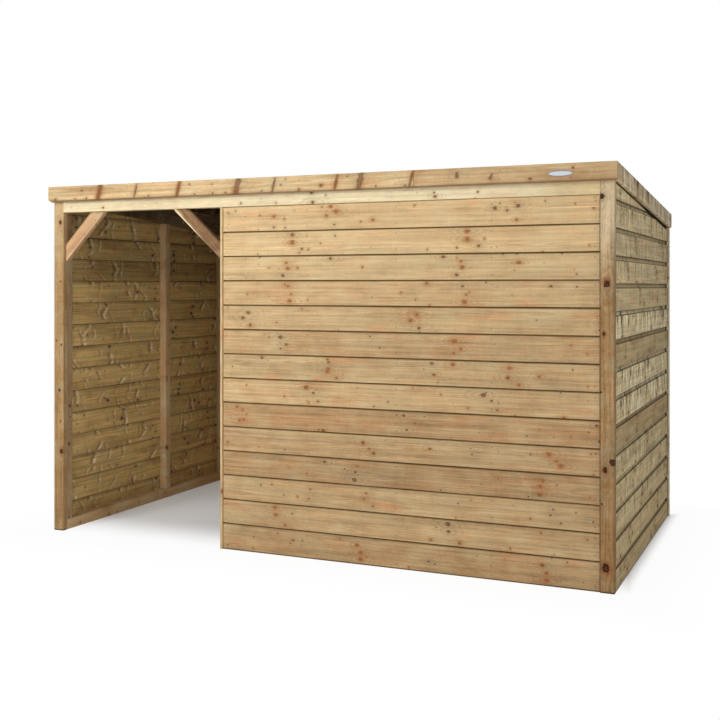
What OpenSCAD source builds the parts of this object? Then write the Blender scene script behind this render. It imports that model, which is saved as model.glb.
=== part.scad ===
// Open-fronted timber field shelter with a single-pitch roof.
// +Z is up, the doorway faces -Y, and the origin lies on the ground under the middle.

/* [Overall] */
// Width over the side walls' boards
shelter_w = 3660; // [2700:10:4800]
// Depth from the front face of the corner posts to the rear ends of the side walls
shelter_d = 2060; // [1600:10:3000]
// Clear height of the doorway, from the ground to the underside of the beam
door_h = 2094; // [1850:1:2500]
// Clear width of the doorway, from the left post to the front panel
door_w = 1195; // [850:5:1500]
// Fall of the roof towards the rear, in degrees
roof_pitch = 4; // [2:0.5:7]

/* [Corner posts and beam] */
// Depth of a front corner post, from front to back
post_t = 38; // [32:1:60]
// Height of the front beam at its front face
beam_h = 86; // [70:1:140]
// Depth of the front beam, from front to back
beam_t = 63; // [45:1:90]
// Width of the eased front edges of posts, beam and fascias
arris = 2; // [1:0.5:4]

/* [Corner braces] */
// Width of the left brace across its face
left_brace_w = 78; // [50:1:95]
// Width of the right brace across its face
right_brace_w = 72; // [50:1:95]
// Thickness of a brace
brace_t = 38; // [25:1:38]
// Distance of the braces' front face behind the beam's front face
brace_setback = 25; // [10:1:25]
// Reach of the left brace's lower edge along the beam
left_brace_reach = 312; // [220:1:450]
// Drop of the left brace's lower edge down the post
left_brace_drop = 322; // [220:1:450]
// Reach of the right brace's lower edge along the beam
right_brace_reach = 357; // [220:1:450]
// Drop of the right brace's lower edge down the front panel
right_brace_drop = 325; // [220:1:450]

/* [Wall framing] */
// Depth of the framing timbers, through the wall
frame_t = 54; // [38:1:75]
// Face width of studs and stiles
stud_w = 55; // [38:1:75]
// Height of the bottom rails
bottom_rail_h = 68; // [45:1:100]
// Height of the side walls' top rails
top_rail_h = 76; // [45:1:100]
// Height of the top rails of the front panel and the back wall
panel_rail_h = 50; // [38:1:75]
// Largest distance between the studs of the front panel and the back wall
stud_spacing = 600; // [400:10:700]
// Distance from the front face of the posts to the side walls' middle stud
mid_stud_y = 1188; // [900:5:1300]
// Gap between neighbouring panels
panel_gap = 2; // [1:0.5:5]

/* [Lapped cladding] */
// Thickness of the cladding boards
clad_t = 22; // [16:1:28]
// Face height that each board adds to the wall
board_cover = 148.3; // [100:0.1:200]
// Face height of the front panel's lowest board
front_first_cover = 163; // [100:1:200]
// Face height of the lowest board of the side and back walls
side_first_cover = 142; // [100:1:200]
// Height of the open channel below each lap of the front panel
front_channel = 8; // [4:1:15]
// Height of the open channel below each lap of the side and back walls
side_channel = 23; // [10:1:30]
// Depth of the channels
channel_depth = 9; // [5:1:12]
// Height of the sloped shoulder at the foot of a channel
shoulder_bevel = 4; // [2:0.5:8]
// Overlap of one board behind the next one up
lap = 20; // [12:1:25]
// Depth of the bead that shows each lap on the inside of the wall
inner_groove = 2; // [1:0.5:4]
// Distance of the front panel's boards behind the beam's front face
clad_setback = 10; // [4:1:16]
// Face width of the batten that closes the board ends at the doorway
edge_batten_w = 15; // [12:1:30]

/* [Rear corner trims] */
// Width of a rear corner trim
rear_trim_w = 100; // [80:1:140]
// Thickness of a rear corner trim
rear_trim_t = 20; // [15:1:30]
// Distance that a rear corner trim stands out past the side wall
rear_trim_proud = 10; // [4:1:16]

/* [Roof] */
// Depth of a rafter, square to the roof
rafter_h = 63; // [47:1:100]
// Width of a rafter
rafter_w = 38; // [32:1:50]
// Distance between rafter centres, half of a roof sheet
rafter_spacing = 610; // [500:5:610]
// Thickness of the roof sheets
deck_t = 11; // [9:1:18]
// Gap between neighbouring roof sheets
deck_gap = 2; // [1:0.5:4]
// Thickness of the roofing felt
felt_t = 3; // [2:0.5:5]
// Distance that the roof runs out in front of the posts
front_overhang = 15; // [5:1:60]
// Distance that the felt drips past the rear fascia
felt_drip = 5; // [2:1:15]
// Height of the fascia boards
fascia_h = 98; // [90:1:140]
// Thickness of the fascia boards
fascia_t = 20; // [15:1:28]
// Distance that the front and side fascias stand above the felt
fascia_rise = 4; // [1:1:10]
// Gap between the foot of a side fascia and the face of the side wall's boards, at the front
front_fascia_gap = 5; // [2:1:15]
// The same gap at the rear
rear_fascia_gap = 22; // [2:1:40]
// Depth of the step that makes this gap
fascia_gap_depth = 12; // [10:1:14]
// Length of the clipped corner at the fascias' free lower ends
clip_l = 24; // [10:1:40]
// Height of the clipped corner at the fascias' free lower ends
clip_h = 9; // [4:1:20]

/* [Hidden] */
$fn = 32;

// A side wall is as thick as its boards and framing, and a corner post covers its front end.
wall_t = clad_t + frame_t;
post_w = wall_t;

// Planes across the width, for the right half
x_outer = shelter_w / 2;
x_boards = x_outer - clad_t;
x_inner = x_outer - wall_t;

// Doorway edge of the front panel, and the ends of its boards
x_door = -x_inner + door_w;
x_panel = x_door + edge_batten_w;
panel_l = x_inner - x_door;

// Planes from front to back, measured from the front face of the posts
y_frame_front = clad_setback + clad_t;
y_frame_back = y_frame_front + frame_t;
y_back_boards = shelter_d - clad_t;
y_back_inner = shelter_d - wall_t;
y_trim = shelter_d + rear_trim_t;
y_roof_front = -front_overhang;
y_roof_rear = y_trim;
y_fascia_front = y_roof_front - fascia_t;
y_fascia_rear = y_roof_rear + fascia_t;
y_felt_rear = y_fascia_rear + felt_drip;

// The plan is shifted so that the origin is under the middle of the whole outline.
plan_shift = -(y_fascia_front + y_felt_rear) / 2;

// Any height above everything, for cutting under the roof
sky = door_h + 1000;

// Vertical height of a roof layer of thickness t
function rise(t) = t / cos(roof_pitch);

// Heights of the roof planes at a distance y behind the front face of the posts
function fall(y) = y * tan(roof_pitch);
function rafter_underside(y) = door_h + beam_h - fall(y);
function deck_underside(y) = rafter_underside(y) + rise(rafter_h);
function deck_top(y) = deck_underside(y) + rise(deck_t);
function felt_top(y) = deck_top(y) + rise(felt_t);
function fascia_top(y) = felt_top(y) + fascia_rise;
function fascia_foot(y) = fascia_top(y) - fascia_h;

// Places of n posts of width w spread evenly from a to b
function spread(a, b, w, n) = [for (i = [0:n - 1]) a + i * (b - a - w) / (n - 1)];
function stud_count(length) = ceil((length - stud_w) / stud_spacing) + 1;

// Heights of the laps in a wall of height h above its lowest board
function laps(first, h) = [for (z = [first:board_cover:h - shoulder_bevel - 1]) z];

// Outer outline of the boards, from the ground up: a channel below each lap, its foot bevelled.
function outer_laps(first, channel, h) = [
    for (z = laps(first, h))
        each [
            [clad_t, z - channel - shoulder_bevel],
            [clad_t - channel_depth, z - channel],
            [clad_t - channel_depth, z],
            [clad_t, z]
        ]
];

// Inner outline of the boards, from the top down: a small bead where each board's tongue ends
function inner_laps(first, h) = let (zs = laps(first, h - lap - inner_groove)) [
    for (i = [len(zs) - 1:-1:0])
        each [
            [0, zs[i] + lap + inner_groove],
            [inner_groove, zs[i] + lap],
            [0, zs[i] + lap - inner_groove]
        ]
];

// Section through lapped boards: the inner face is at 0 and the outer face at clad_t.
module lap_section(first, channel, h) {
    polygon(concat(
        [[0, 0], [clad_t, 0]],
        outer_laps(first, channel, h),
        [[clad_t, h], [0, h]],
        inner_laps(first, h)
    ));
}

// A rectangle whose two front edges (at y = 0) are eased
module eased_section(w, t) {
    polygon([[arris, 0], [w - arris, 0], [w, arris], [w, t], [0, t], [0, arris]]);
}

// Extrudes an outline drawn in (y, z) across the width, from x0 to x1.
module across(x0, x1) {
    translate([x0, 0, 0])
        rotate([90, 0, 90])
            linear_extrude(x1 - x0)
                children();
}

// Extrudes an outline drawn in (x, z) from front to back, from y0 to y1.
module from_front(y0, y1) {
    translate([0, y1, 0])
        rotate([90, 0, 0])
            linear_extrude(y1 - y0)
                children();
}

// Moves the plan so that the origin is under the middle.
module placed() {
    translate([0, plan_shift, 0])
        children();
}

// Draws the right-hand piece, mirrored for the left (side -1).
module on_side(side) {
    mirror([side < 0 ? 1 : 0, 0, 0])
        children();
}

// A block between two corners
module block(low, high) {
    translate(low)
        cube(high - low);
}

// A band between two roof planes from y0 to y1, with plumb ends, drawn in (y, z)
module roof_band(y0, y1, low0, high0) {
    polygon([
        [y0, low0 - fall(y0)],
        [y1, low0 - fall(y1)],
        [y1, high0 - fall(y1)],
        [y0, high0 - fall(y0)]
    ]);
}

// Keeps what lies below a roof plane of height top0 at y = 0.
module under_roof(top0) {
    intersection() {
        children();
        across(-shelter_w, shelter_w)
            roof_band(-shelter_d, 2 * shelter_d, -sky, top0);
    }
}

module corner_post(side) {
    color("burlywood")
        under_roof(deck_underside(0))
            on_side(side)
                translate([x_inner, 0, 0])
                    linear_extrude(sky)
                        eased_section(post_w, post_t);
}

module front_left_post() {
    placed()
        corner_post(-1);
}

module front_right_post() {
    placed()
        corner_post(1);
}

// The beam's top is bevelled to the slope of the rafters that sit on it.
module front_beam() {
    color("wheat")
        placed()
            across(-x_inner, x_inner)
                polygon([
                    [arris, door_h],
                    [beam_t, door_h],
                    [beam_t, rafter_underside(beam_t)],
                    [0, rafter_underside(0)],
                    [0, door_h + arris]
                ]);
}

// A brace whose ends are cut level under the beam and plumb against the upright
module brace(width, reach, drop) {
    edge = norm([reach, drop]);
    color("tan")
        from_front(brace_setback, brace_setback + brace_t)
            polygon([
                [0, door_h - drop],
                [reach, door_h],
                [reach - width * edge / drop, door_h],
                [0, door_h - drop + width * edge / reach]
            ]);
}

module left_brace() {
    placed()
        translate([-x_inner, 0, 0])
            brace(left_brace_w, left_brace_reach, left_brace_drop);
}

module right_brace() {
    placed()
        translate([x_door, 0, 0])
            mirror([1, 0, 0])
                brace(right_brace_w, right_brace_reach, right_brace_drop);
}

module front_panel_cladding() {
    color("burlywood")
        placed()
            translate([0, y_frame_front, 0])
                across(x_panel, x_inner - panel_gap)
                    mirror([1, 0])
                        lap_section(front_first_cover, front_channel, door_h);
}

module front_panel_edge_batten() {
    color("wheat")
        placed()
            translate([x_door, 0, 0])
                linear_extrude(door_h)
                    eased_section(edge_batten_w, y_frame_front);
}

module front_panel_bottom_rail() {
    color("tan")
        placed()
            block([x_door, y_frame_front, 0], [x_inner, y_frame_back, bottom_rail_h]);
}

module front_panel_top_rail() {
    color("tan")
        placed()
            block([x_door, y_frame_front, door_h - panel_rail_h], [x_inner, y_frame_back, door_h]);
}

module front_stud(x) {
    block([x, y_frame_front, bottom_rail_h], [x + stud_w, y_frame_back, door_h - panel_rail_h]);
}

module doorway_stud() {
    color("tan")
        placed()
            front_stud(x_door);
}

module front_panel_studs() {
    places = spread(x_door, x_inner, stud_w, stud_count(panel_l));
    color("tan")
        placed()
            for (i = [1:len(places) - 1])
                front_stud(places[i]);
}

// Height at which the face of a side wall's boards stops below the fascia
function gap_line(y) =
    fascia_foot(y) - front_fascia_gap - (rear_fascia_gap - front_fascia_gap) * y / shelter_d;

// The space in front of the side walls' boards above that height
module fascia_step(side) {
    on_side(side)
        across(x_outer - fascia_gap_depth, x_outer + fascia_t)
            polygon([
                [-shelter_d, gap_line(-shelter_d)],
                [2 * shelter_d, gap_line(2 * shelter_d)],
                [2 * shelter_d, sky],
                [-shelter_d, sky]
            ]);
}

// Boards of a side wall, cut along the roof
module side_boards(side) {
    under_roof(deck_underside(0))
        on_side(side)
            from_front(post_t, shelter_d)
                translate([x_boards, 0])
                    lap_section(side_first_cover, side_channel, sky);
}

// The same boards, stepped back below the side fascia
module side_cladding(side) {
    color("darkkhaki")
        difference() {
            side_boards(side);
            fascia_step(side);
        }
}

module side_bottom_rail(side) {
    color("tan")
        on_side(side)
            block([x_inner, post_t, 0], [x_boards, shelter_d, bottom_rail_h]);
}

module side_top_rail(side) {
    color("tan")
        on_side(side)
            across(x_inner, x_boards)
                roof_band(post_t, shelter_d, deck_underside(0) - top_rail_h, deck_underside(0));
}

// An upright of a side wall, from the bottom rail to the slope of the top rail
module side_upright(side, y) {
    color("tan")
        on_side(side)
            across(x_inner, x_boards)
                polygon([
                    [y, bottom_rail_h],
                    [y + stud_w, bottom_rail_h],
                    [y + stud_w, deck_underside(y + stud_w) - top_rail_h],
                    [y, deck_underside(y) - top_rail_h]
                ]);
}

module left_wall_cladding() {
    placed()
        side_cladding(-1);
}

module left_wall_bottom_rail() {
    placed()
        side_bottom_rail(-1);
}

module left_wall_top_rail() {
    placed()
        side_top_rail(-1);
}

module left_wall_front_stile() {
    placed()
        side_upright(-1, post_t);
}

module left_wall_mid_stud() {
    placed()
        side_upright(-1, mid_stud_y);
}

module left_wall_rear_stile() {
    placed()
        side_upright(-1, shelter_d - stud_w);
}

module right_wall_cladding() {
    placed()
        side_cladding(1);
}

module right_wall_bottom_rail() {
    placed()
        side_bottom_rail(1);
}

module right_wall_top_rail() {
    placed()
        side_top_rail(1);
}

module right_wall_front_stile() {
    placed()
        side_upright(1, post_t);
}

module right_wall_mid_stud() {
    placed()
        side_upright(1, mid_stud_y);
}

module right_wall_rear_stile() {
    placed()
        side_upright(1, shelter_d - stud_w);
}

// Boards of one half of the back wall, cut along the underside of the rafters
module back_cladding(side) {
    color("darkkhaki")
        under_roof(rafter_underside(0))
            on_side(side)
                translate([0, y_back_boards, 0])
                    across(panel_gap / 2, x_inner)
                        lap_section(side_first_cover, side_channel, sky);
}

module back_wall_left_cladding() {
    placed()
        back_cladding(-1);
}

module back_wall_right_cladding() {
    placed()
        back_cladding(1);
}

module back_wall_bottom_rail() {
    color("tan")
        placed()
            block([-x_inner, y_back_inner, 0], [x_inner, y_back_boards, bottom_rail_h]);
}

// The rail's top is bevelled to the slope of the rafters that sit on it.
module back_wall_top_rail() {
    foot = rafter_underside(y_back_boards) - panel_rail_h;
    color("tan")
        placed()
            across(-x_inner, x_inner)
                polygon([
                    [y_back_inner, foot],
                    [y_back_boards, foot],
                    [y_back_boards, rafter_underside(y_back_boards)],
                    [y_back_inner, rafter_underside(y_back_inner)]
                ]);
}

module back_studs(side) {
    top = rafter_underside(y_back_boards) - panel_rail_h;
    count = stud_count(x_inner - panel_gap / 2);
    color("tan")
        on_side(side)
            for (x = spread(panel_gap / 2, x_inner, stud_w, count))
                block([x, y_back_inner, bottom_rail_h], [x + stud_w, y_back_boards, top]);
}

module back_wall_left_studs() {
    placed()
        back_studs(-1);
}

module back_wall_right_studs() {
    placed()
        back_studs(1);
}

// A trim board over the joint of side and back wall, its top cut to the side fascia's foot
module rear_trim(side) {
    x1 = x_outer + rear_trim_proud;
    color("wheat")
        under_roof(fascia_foot(0))
            on_side(side)
                block([x1 - rear_trim_w, shelter_d, 0], [x1, y_trim, sky]);
}

module rear_left_corner_trim() {
    placed()
        rear_trim(-1);
}

module rear_right_corner_trim() {
    placed()
        rear_trim(1);
}

module roof_rafters() {
    reach = x_inner - rafter_w / 2;
    color("tan")
        placed()
            for (x = [-x_outer + rafter_spacing:rafter_spacing:reach])
                across(x - rafter_w / 2, x + rafter_w / 2)
                    roof_band(y_roof_front, y_roof_rear, rafter_underside(0), deck_underside(0));
}

// Whole sheets from the left, each joint over a rafter, and the last one cut to fit
module roof_deck() {
    sheet_w = 2 * rafter_spacing;
    count = ceil(shelter_w / sheet_w);
    color("peru")
        placed()
            for (i = [0:count - 1])
                across(
                    -x_outer + i * sheet_w + (i > 0 ? deck_gap / 2 : 0),
                    min(x_outer, -x_outer + (i + 1) * sheet_w - (i < count - 1 ? deck_gap / 2 : 0))
                )
                    roof_band(y_roof_front, y_roof_rear, deck_underside(0), deck_top(0));
}

module roof_felt() {
    color("dimgray")
        placed()
            across(-x_outer, x_outer)
                roof_band(y_roof_front, y_felt_rear, deck_top(0), felt_top(0));
}

// The front fascia covers the ends of the side fascias, and its left end is clipped below.
module front_fascia() {
    x_end = x_outer + fascia_t;
    top = fascia_top(y_roof_front);
    foot = top - fascia_h;
    color("peru")
        placed()
            from_front(y_fascia_front, y_roof_front)
                polygon([
                    [-x_end, foot + clip_h],
                    [clip_l - x_end, foot],
                    [x_end, foot],
                    [x_end, top],
                    [-x_end, top]
                ]);
}

// The rear fascia closes the roof between the side fascias, and the felt runs over its top.
module rear_fascia() {
    foot = fascia_foot(y_fascia_rear);
    color("peru")
        placed()
            across(-x_outer, x_outer)
                polygon([
                    [y_roof_rear, foot],
                    [y_fascia_rear, foot],
                    [y_fascia_rear, deck_top(y_fascia_rear)],
                    [y_roof_rear, deck_top(y_roof_rear)]
                ]);
}

// A side fascia follows the slope of the roof, and its rear end is clipped below.
module side_fascia(side) {
    color("peru")
        on_side(side)
            across(x_outer, x_outer + fascia_t)
                polygon([
                    [y_roof_front, fascia_foot(y_roof_front)],
                    [y_fascia_rear - clip_l, fascia_foot(y_fascia_rear - clip_l)],
                    [y_fascia_rear, fascia_foot(y_fascia_rear) + clip_h],
                    [y_fascia_rear, fascia_top(y_fascia_rear)],
                    [y_roof_front, fascia_top(y_roof_front)]
                ]);
}

module left_fascia() {
    placed()
        side_fascia(-1);
}

module right_fascia() {
    placed()
        side_fascia(1);
}

front_left_post();
front_right_post();
front_beam();
left_brace();
right_brace();
front_panel_cladding();
front_panel_edge_batten();
front_panel_bottom_rail();
front_panel_top_rail();
doorway_stud();
front_panel_studs();
left_wall_cladding();
left_wall_bottom_rail();
left_wall_top_rail();
left_wall_front_stile();
left_wall_mid_stud();
left_wall_rear_stile();
right_wall_cladding();
right_wall_bottom_rail();
right_wall_top_rail();
right_wall_front_stile();
right_wall_mid_stud();
right_wall_rear_stile();
back_wall_left_cladding();
back_wall_right_cladding();
back_wall_bottom_rail();
back_wall_top_rail();
back_wall_left_studs();
back_wall_right_studs();
rear_left_corner_trim();
rear_right_corner_trim();
roof_rafters();
roof_deck();
roof_felt();
front_fascia();
rear_fascia();
left_fascia();
right_fascia();
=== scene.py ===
"""Looks for an open-fronted timber field shelter: lapped boards, sawn framing, a felted roof and nails.

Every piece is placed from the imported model. Sizes are in metres, +Z is up and the doorway faces -Y.
"""

import logging
import math
import random
from collections.abc import Callable, Iterable, Sequence
from dataclasses import dataclass, field, replace
from enum import Enum

import bmesh
import bpy
from mathutils import Matrix, Vector

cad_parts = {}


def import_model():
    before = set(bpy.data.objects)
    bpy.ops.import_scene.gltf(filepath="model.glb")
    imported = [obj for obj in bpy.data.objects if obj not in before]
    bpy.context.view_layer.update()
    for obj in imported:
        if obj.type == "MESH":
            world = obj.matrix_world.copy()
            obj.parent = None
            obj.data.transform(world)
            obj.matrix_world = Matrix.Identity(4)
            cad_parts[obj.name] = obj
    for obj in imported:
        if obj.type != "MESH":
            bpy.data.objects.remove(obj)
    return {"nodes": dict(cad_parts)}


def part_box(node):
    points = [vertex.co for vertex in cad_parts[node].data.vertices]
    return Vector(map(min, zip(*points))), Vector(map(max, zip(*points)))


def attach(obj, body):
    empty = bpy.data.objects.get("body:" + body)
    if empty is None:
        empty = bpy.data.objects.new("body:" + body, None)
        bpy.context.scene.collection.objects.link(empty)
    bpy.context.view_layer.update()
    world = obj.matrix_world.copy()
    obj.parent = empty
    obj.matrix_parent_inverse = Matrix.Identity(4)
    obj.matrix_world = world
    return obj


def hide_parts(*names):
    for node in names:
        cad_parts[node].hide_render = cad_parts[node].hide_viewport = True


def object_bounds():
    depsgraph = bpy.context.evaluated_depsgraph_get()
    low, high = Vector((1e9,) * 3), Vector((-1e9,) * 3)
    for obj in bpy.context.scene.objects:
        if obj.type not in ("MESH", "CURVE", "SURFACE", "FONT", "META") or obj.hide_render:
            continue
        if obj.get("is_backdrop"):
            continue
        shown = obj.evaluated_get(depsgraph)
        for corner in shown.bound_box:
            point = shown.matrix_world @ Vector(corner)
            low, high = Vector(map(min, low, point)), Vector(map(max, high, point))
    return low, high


LOG = logging.getLogger("field_shelter")

Colour = tuple[float, float, float]
Triple = tuple[float, float, float]
Knot = tuple[float, float, float]
"""Distance along the grain, distance across the face, and radius, which is below 0 for a spike knot."""

NEAR = 1e-4
"""Points closer than this count as one place."""


# ---------------------------------------------------------------- node trees


def operator(operation: str, turned: bool = False) -> Callable[["Sock", object], "Sock"]:
    """Makes one arithmetic method of Sock.

    Args:
        operation: The Math node's operation.
        turned: Whether the other value comes first.

    Returns:
        The method.
    """

    def method(this: "Sock", other: object) -> "Sock":
        """The result of the operation on this and another value."""
        pair = (other, this) if turned else (this, other)
        return this.graph.node("ShaderNodeMath", {"operation": operation}, dict(enumerate(pair)))

    return method


class Sock:
    """One output of a node. Arithmetic on it adds Math nodes to the same tree."""

    def __init__(self, graph: "Graph", socket: bpy.types.NodeSocket) -> None:
        """Wraps an output of a tree."""
        self.graph = graph
        self.socket = socket

    __add__ = operator("ADD")
    __radd__ = operator("ADD")
    __sub__ = operator("SUBTRACT")
    __rsub__ = operator("SUBTRACT", turned=True)
    __mul__ = operator("MULTIPLY")
    __rmul__ = operator("MULTIPLY")
    __truediv__ = operator("DIVIDE")
    __rtruediv__ = operator("DIVIDE", turned=True)
    __pow__ = operator("POWER")

    def math(self, operation: str, *others: object) -> "Sock":
        """The result of a Math node whose first value is this one."""
        return self.graph.node("ShaderNodeMath", {"operation": operation}, dict(enumerate((self, *others))))

    def vector(self, operation: str, other: object) -> "Sock":
        """The result of a Vector Math node on this and another value."""
        inputs = {0: self, "Scale" if operation == "SCALE" else 1: other}
        return self.graph.node("ShaderNodeVectorMath", {"operation": operation}, inputs)

    def over(self, least: object) -> "Sock":
        """This, or the other value where that is the greater."""
        return self.math("MAXIMUM", least)

    def under(self, most: object) -> "Sock":
        """This, or the other value where that is the lower."""
        return self.math("MINIMUM", most)

    def ease(self, start: float, end: float) -> "Sock":
        """Rises smoothly from 0 at start to 1 at end, and falls where end is the lower of the two."""
        inputs = {"Value": self, "From Min": start, "From Max": end}
        return self.graph.node("ShaderNodeMapRange", {"interpolation_type": "SMOOTHSTEP"}, inputs)

    def crest(self, foot: float, top: float, edge: float) -> "Sock":
        """Bands that rise from foot to top and fall sharply from edge to the next whole number."""
        part = self.math("FRACT")
        return part.ease(foot, top) * part.ease(1.0, edge)

    def other(self, name: str) -> "Sock":
        """Another output of the same node."""
        return Sock(self.graph, self.graph.find(self.socket.node.outputs, name))


class Graph:
    """A node tree, filled by one method that makes any node."""

    def __init__(self, tree: bpy.types.NodeTree) -> None:
        """Empties the tree."""
        self.tree = tree
        tree.nodes.clear()

    @staticmethod
    def find(sockets: Iterable[bpy.types.NodeSocket], name: str) -> bpy.types.NodeSocket:
        """The first socket in use that has this name."""
        return next(s for s in sockets if s.enabled and name in (s.name, s.identifier))

    def node(self, kind: str, settings: dict | None = None, inputs: dict | None = None) -> Sock:
        """Adds a node.

        Args:
            kind: The node's type name.
            settings: Its own settings, put on first.
            inputs: The values or links of its inputs, by name or by number.

        Returns:
            Its first output in use.
        """
        made = self.tree.nodes.new(kind)
        for key, setting in (settings or {}).items():
            setattr(made, key, setting)
        for key, value in (inputs or {}).items():
            socket = made.inputs[key] if isinstance(key, int) else self.find(made.inputs, key)
            if isinstance(value, Sock):
                self.tree.links.new(value.socket, socket)
            elif socket.type == "RGBA":
                socket.default_value = (*value, 1.0)
            else:
                socket.default_value = value
        return Sock(self, next((s for s in made.outputs if s.enabled), None))

    def mix(self, share: object, low: object, high: object, blend: str = "MIX") -> Sock:
        """The mix of two colours, by the share of the second."""
        settings = {"data_type": "RGBA", "blend_type": blend}
        return self.node("ShaderNodeMix", settings, {"Factor": share, "A": low, "B": high})

    def join(self, x: object, y: object, z: object) -> Sock:
        """A vector of three values."""
        return self.node("ShaderNodeCombineXYZ", {}, {"X": x, "Y": y, "Z": z})

    def split(self, vector: Sock) -> tuple[Sock, Sock, Sock]:
        """The three values of a vector."""
        parts = self.node("ShaderNodeSeparateXYZ", {}, {"Vector": vector})
        return parts, parts.other("Y"), parts.other("Z")

    def noise(self, place: Sock, scale: Triple, detail: float = 2.0, rough: float = 0.5) -> Sock:
        """Noise from 0 to 1, stretched along each axis.

        Args:
            place: The coordinates.
            scale: Repeats in a metre along each axis.
            detail: The number of finer layers.
            rough: The strength of the finer layers.

        Returns:
            The noise.
        """
        spot = place.vector("MULTIPLY", scale)
        inputs = {"Vector": spot, "Scale": 1.0, "Detail": detail, "Roughness": rough}
        return self.node("ShaderNodeTexNoise", {"noise_dimensions": "3D"}, inputs)

    def cells(
        self, place: Sock, scale: float = 1.0, dimensions: str = "1D"
    ) -> tuple[Sock, tuple[Sock, Sock, Sock]]:
        """Cells around scattered points.

        Args:
            place: The coordinates.
            scale: Cells in a unit of them.
            dimensions: The number of dimensions, as the node names it.

        Returns:
            The distance from the nearest point, and three random values of that point's own.
        """
        inputs = {"W" if dimensions == "1D" else "Vector": place, "Scale": scale}
        made = self.node("ShaderNodeTexVoronoi", {"voronoi_dimensions": dimensions}, inputs)
        return made, self.split(made.other("Color"))


class Surface(Graph):
    """A material's tree around one Principled shader."""

    def __init__(self, name: str) -> None:
        """Starts an empty material.

        Args:
            name: The material's name.
        """
        self.material = bpy.data.materials.new(name)
        self.material.use_nodes = True
        super().__init__(self.material.node_tree)

    def read(self, attribute: str, output: str = "Vector") -> Sock:
        """An attribute that the mesh carries."""
        return self.node("ShaderNodeAttribute", {"attribute_name": attribute}).other(output)

    def place(self) -> Sock:
        """The Object coordinates."""
        return self.node("ShaderNodeTexCoord").other("Object")

    def bump(self, height: Sock, strength: float, distance: float) -> Sock:
        """A normal bent by a height from 0 to 1, which stands for a distance in metres."""
        inputs = {"Height": height, "Strength": strength, "Distance": distance}
        return self.node("ShaderNodeBump", {}, inputs)

    def close(self, **sockets: object) -> bpy.types.Material:
        """Adds the shader and the output.

        Args:
            sockets: The shader's inputs, with underscores for the spaces in their names.

        Returns:
            The finished material.
        """
        inputs = {key.replace("_", " "): value for key, value in sockets.items()}
        shader = self.node("ShaderNodeBsdfPrincipled", {}, inputs)
        self.node("ShaderNodeOutputMaterial", {}, {"Surface": shader})
        return self.material


# ---------------------------------------------------------------- finishes


@dataclass(frozen=True)
class TimberFinish:
    """Softwood: growth rings, heartwood, resin streaks, knots with halos, and the tint of its treatment."""

    name: str
    early: Colour
    late: Colour
    heart: Colour = (0.40, 0.225, 0.10)
    resin: Colour = (0.66, 0.30, 0.13)
    film: Colour = (0.40, 0.36, 0.22)
    halo: Colour = (0.40, 0.17, 0.070)
    knot: Colour = (0.030, 0.012, 0.006)
    # The colour of a mesh's dark marks, which are mostly painted shade in channels, gaps and ledges.
    dirt_and_shade: Colour = (0.030, 0.014, 0.005)
    pale: Colour = (0.62, 0.46, 0.25)
    inner: Colour | None = None
    ring_pitch: float = 0.0055
    ring_strength: float = 0.5
    streak: float = 0.30
    cloud: float = 0.35
    hearts: float = 0.45
    resins: float = 0.6
    films: float = 0.35
    ghosts: float = 0.0
    swirls: float = 0.35
    waves: float = 0.0
    core: float = 0.92
    live: float = 0.18
    speckle: float = 0.0
    sap_edge: float = 0.0
    # Where an end tint begins along the grain: partly the timber's own tone, partly painted light.
    end_tone_and_light_from: float = 0.0
    knot_share: float = 0.35
    knot_radius: float = 0.009
    pin_share: float = 0.5
    pin_radius: float = 0.0045
    drips: float = 0.0
    drip_scale: float = 1.0
    bleach: float = 0.0
    saw_marks: float = 0.0
    roughness: float = 0.68
    relief: float = 0.0006

    def build(self) -> bpy.types.Material:
        """Makes the material."""
        return TimberTree(self).build()


WOOD_NOISES = {
    "sway": ((1.1, 4.0, 4.0), 1.0),
    "shiver": ((9.0, 24.0, 24.0), 2.0),
    "streaks": ((1.7, 66.0, 66.0), 3.0, 0.62),
    "fibre": ((16.0, 260.0, 260.0), 3.0, 0.65),
    "patch": ((1.5, 13.0, 13.0), 2.0),
    "cloud": ((6.0, 9.0, 9.0), 3.0, 0.6),
    "line": ((1.3, 46.0, 46.0), 0.0),
    "mood": ((5.0, 11.0, 11.0), 0.0),
    "grit": ((90.0, 9.0, 9.0), 2.0, 0.7),
    "rough": ((70.0, 110.0, 110.0), 2.0, 0.6),
}
"""Noises of the grain: repeats in a metre along, across and through it, finer layers, their strength."""

STRANDS = ((0.0, 0.020, 0.70), (-0.085, 0.014, 0.45), (0.075, 0.012, 0.45))
"""Pale curls of grain beside a ring of knots: distance along the grain, half width and strength."""

KNOT_LAYERS = ("knot_a", "knot_b", "knot_c")
RING_PITCH = 2.6
"""Rings of branches in a metre along the grain."""
LIMB_PITCH = 16.0
"""Places for a branch in a metre across a ring."""
PIN_PITCH = 12.0
"""Places for a pin knot in a metre."""
SMALLEST = 0.0001


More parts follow.
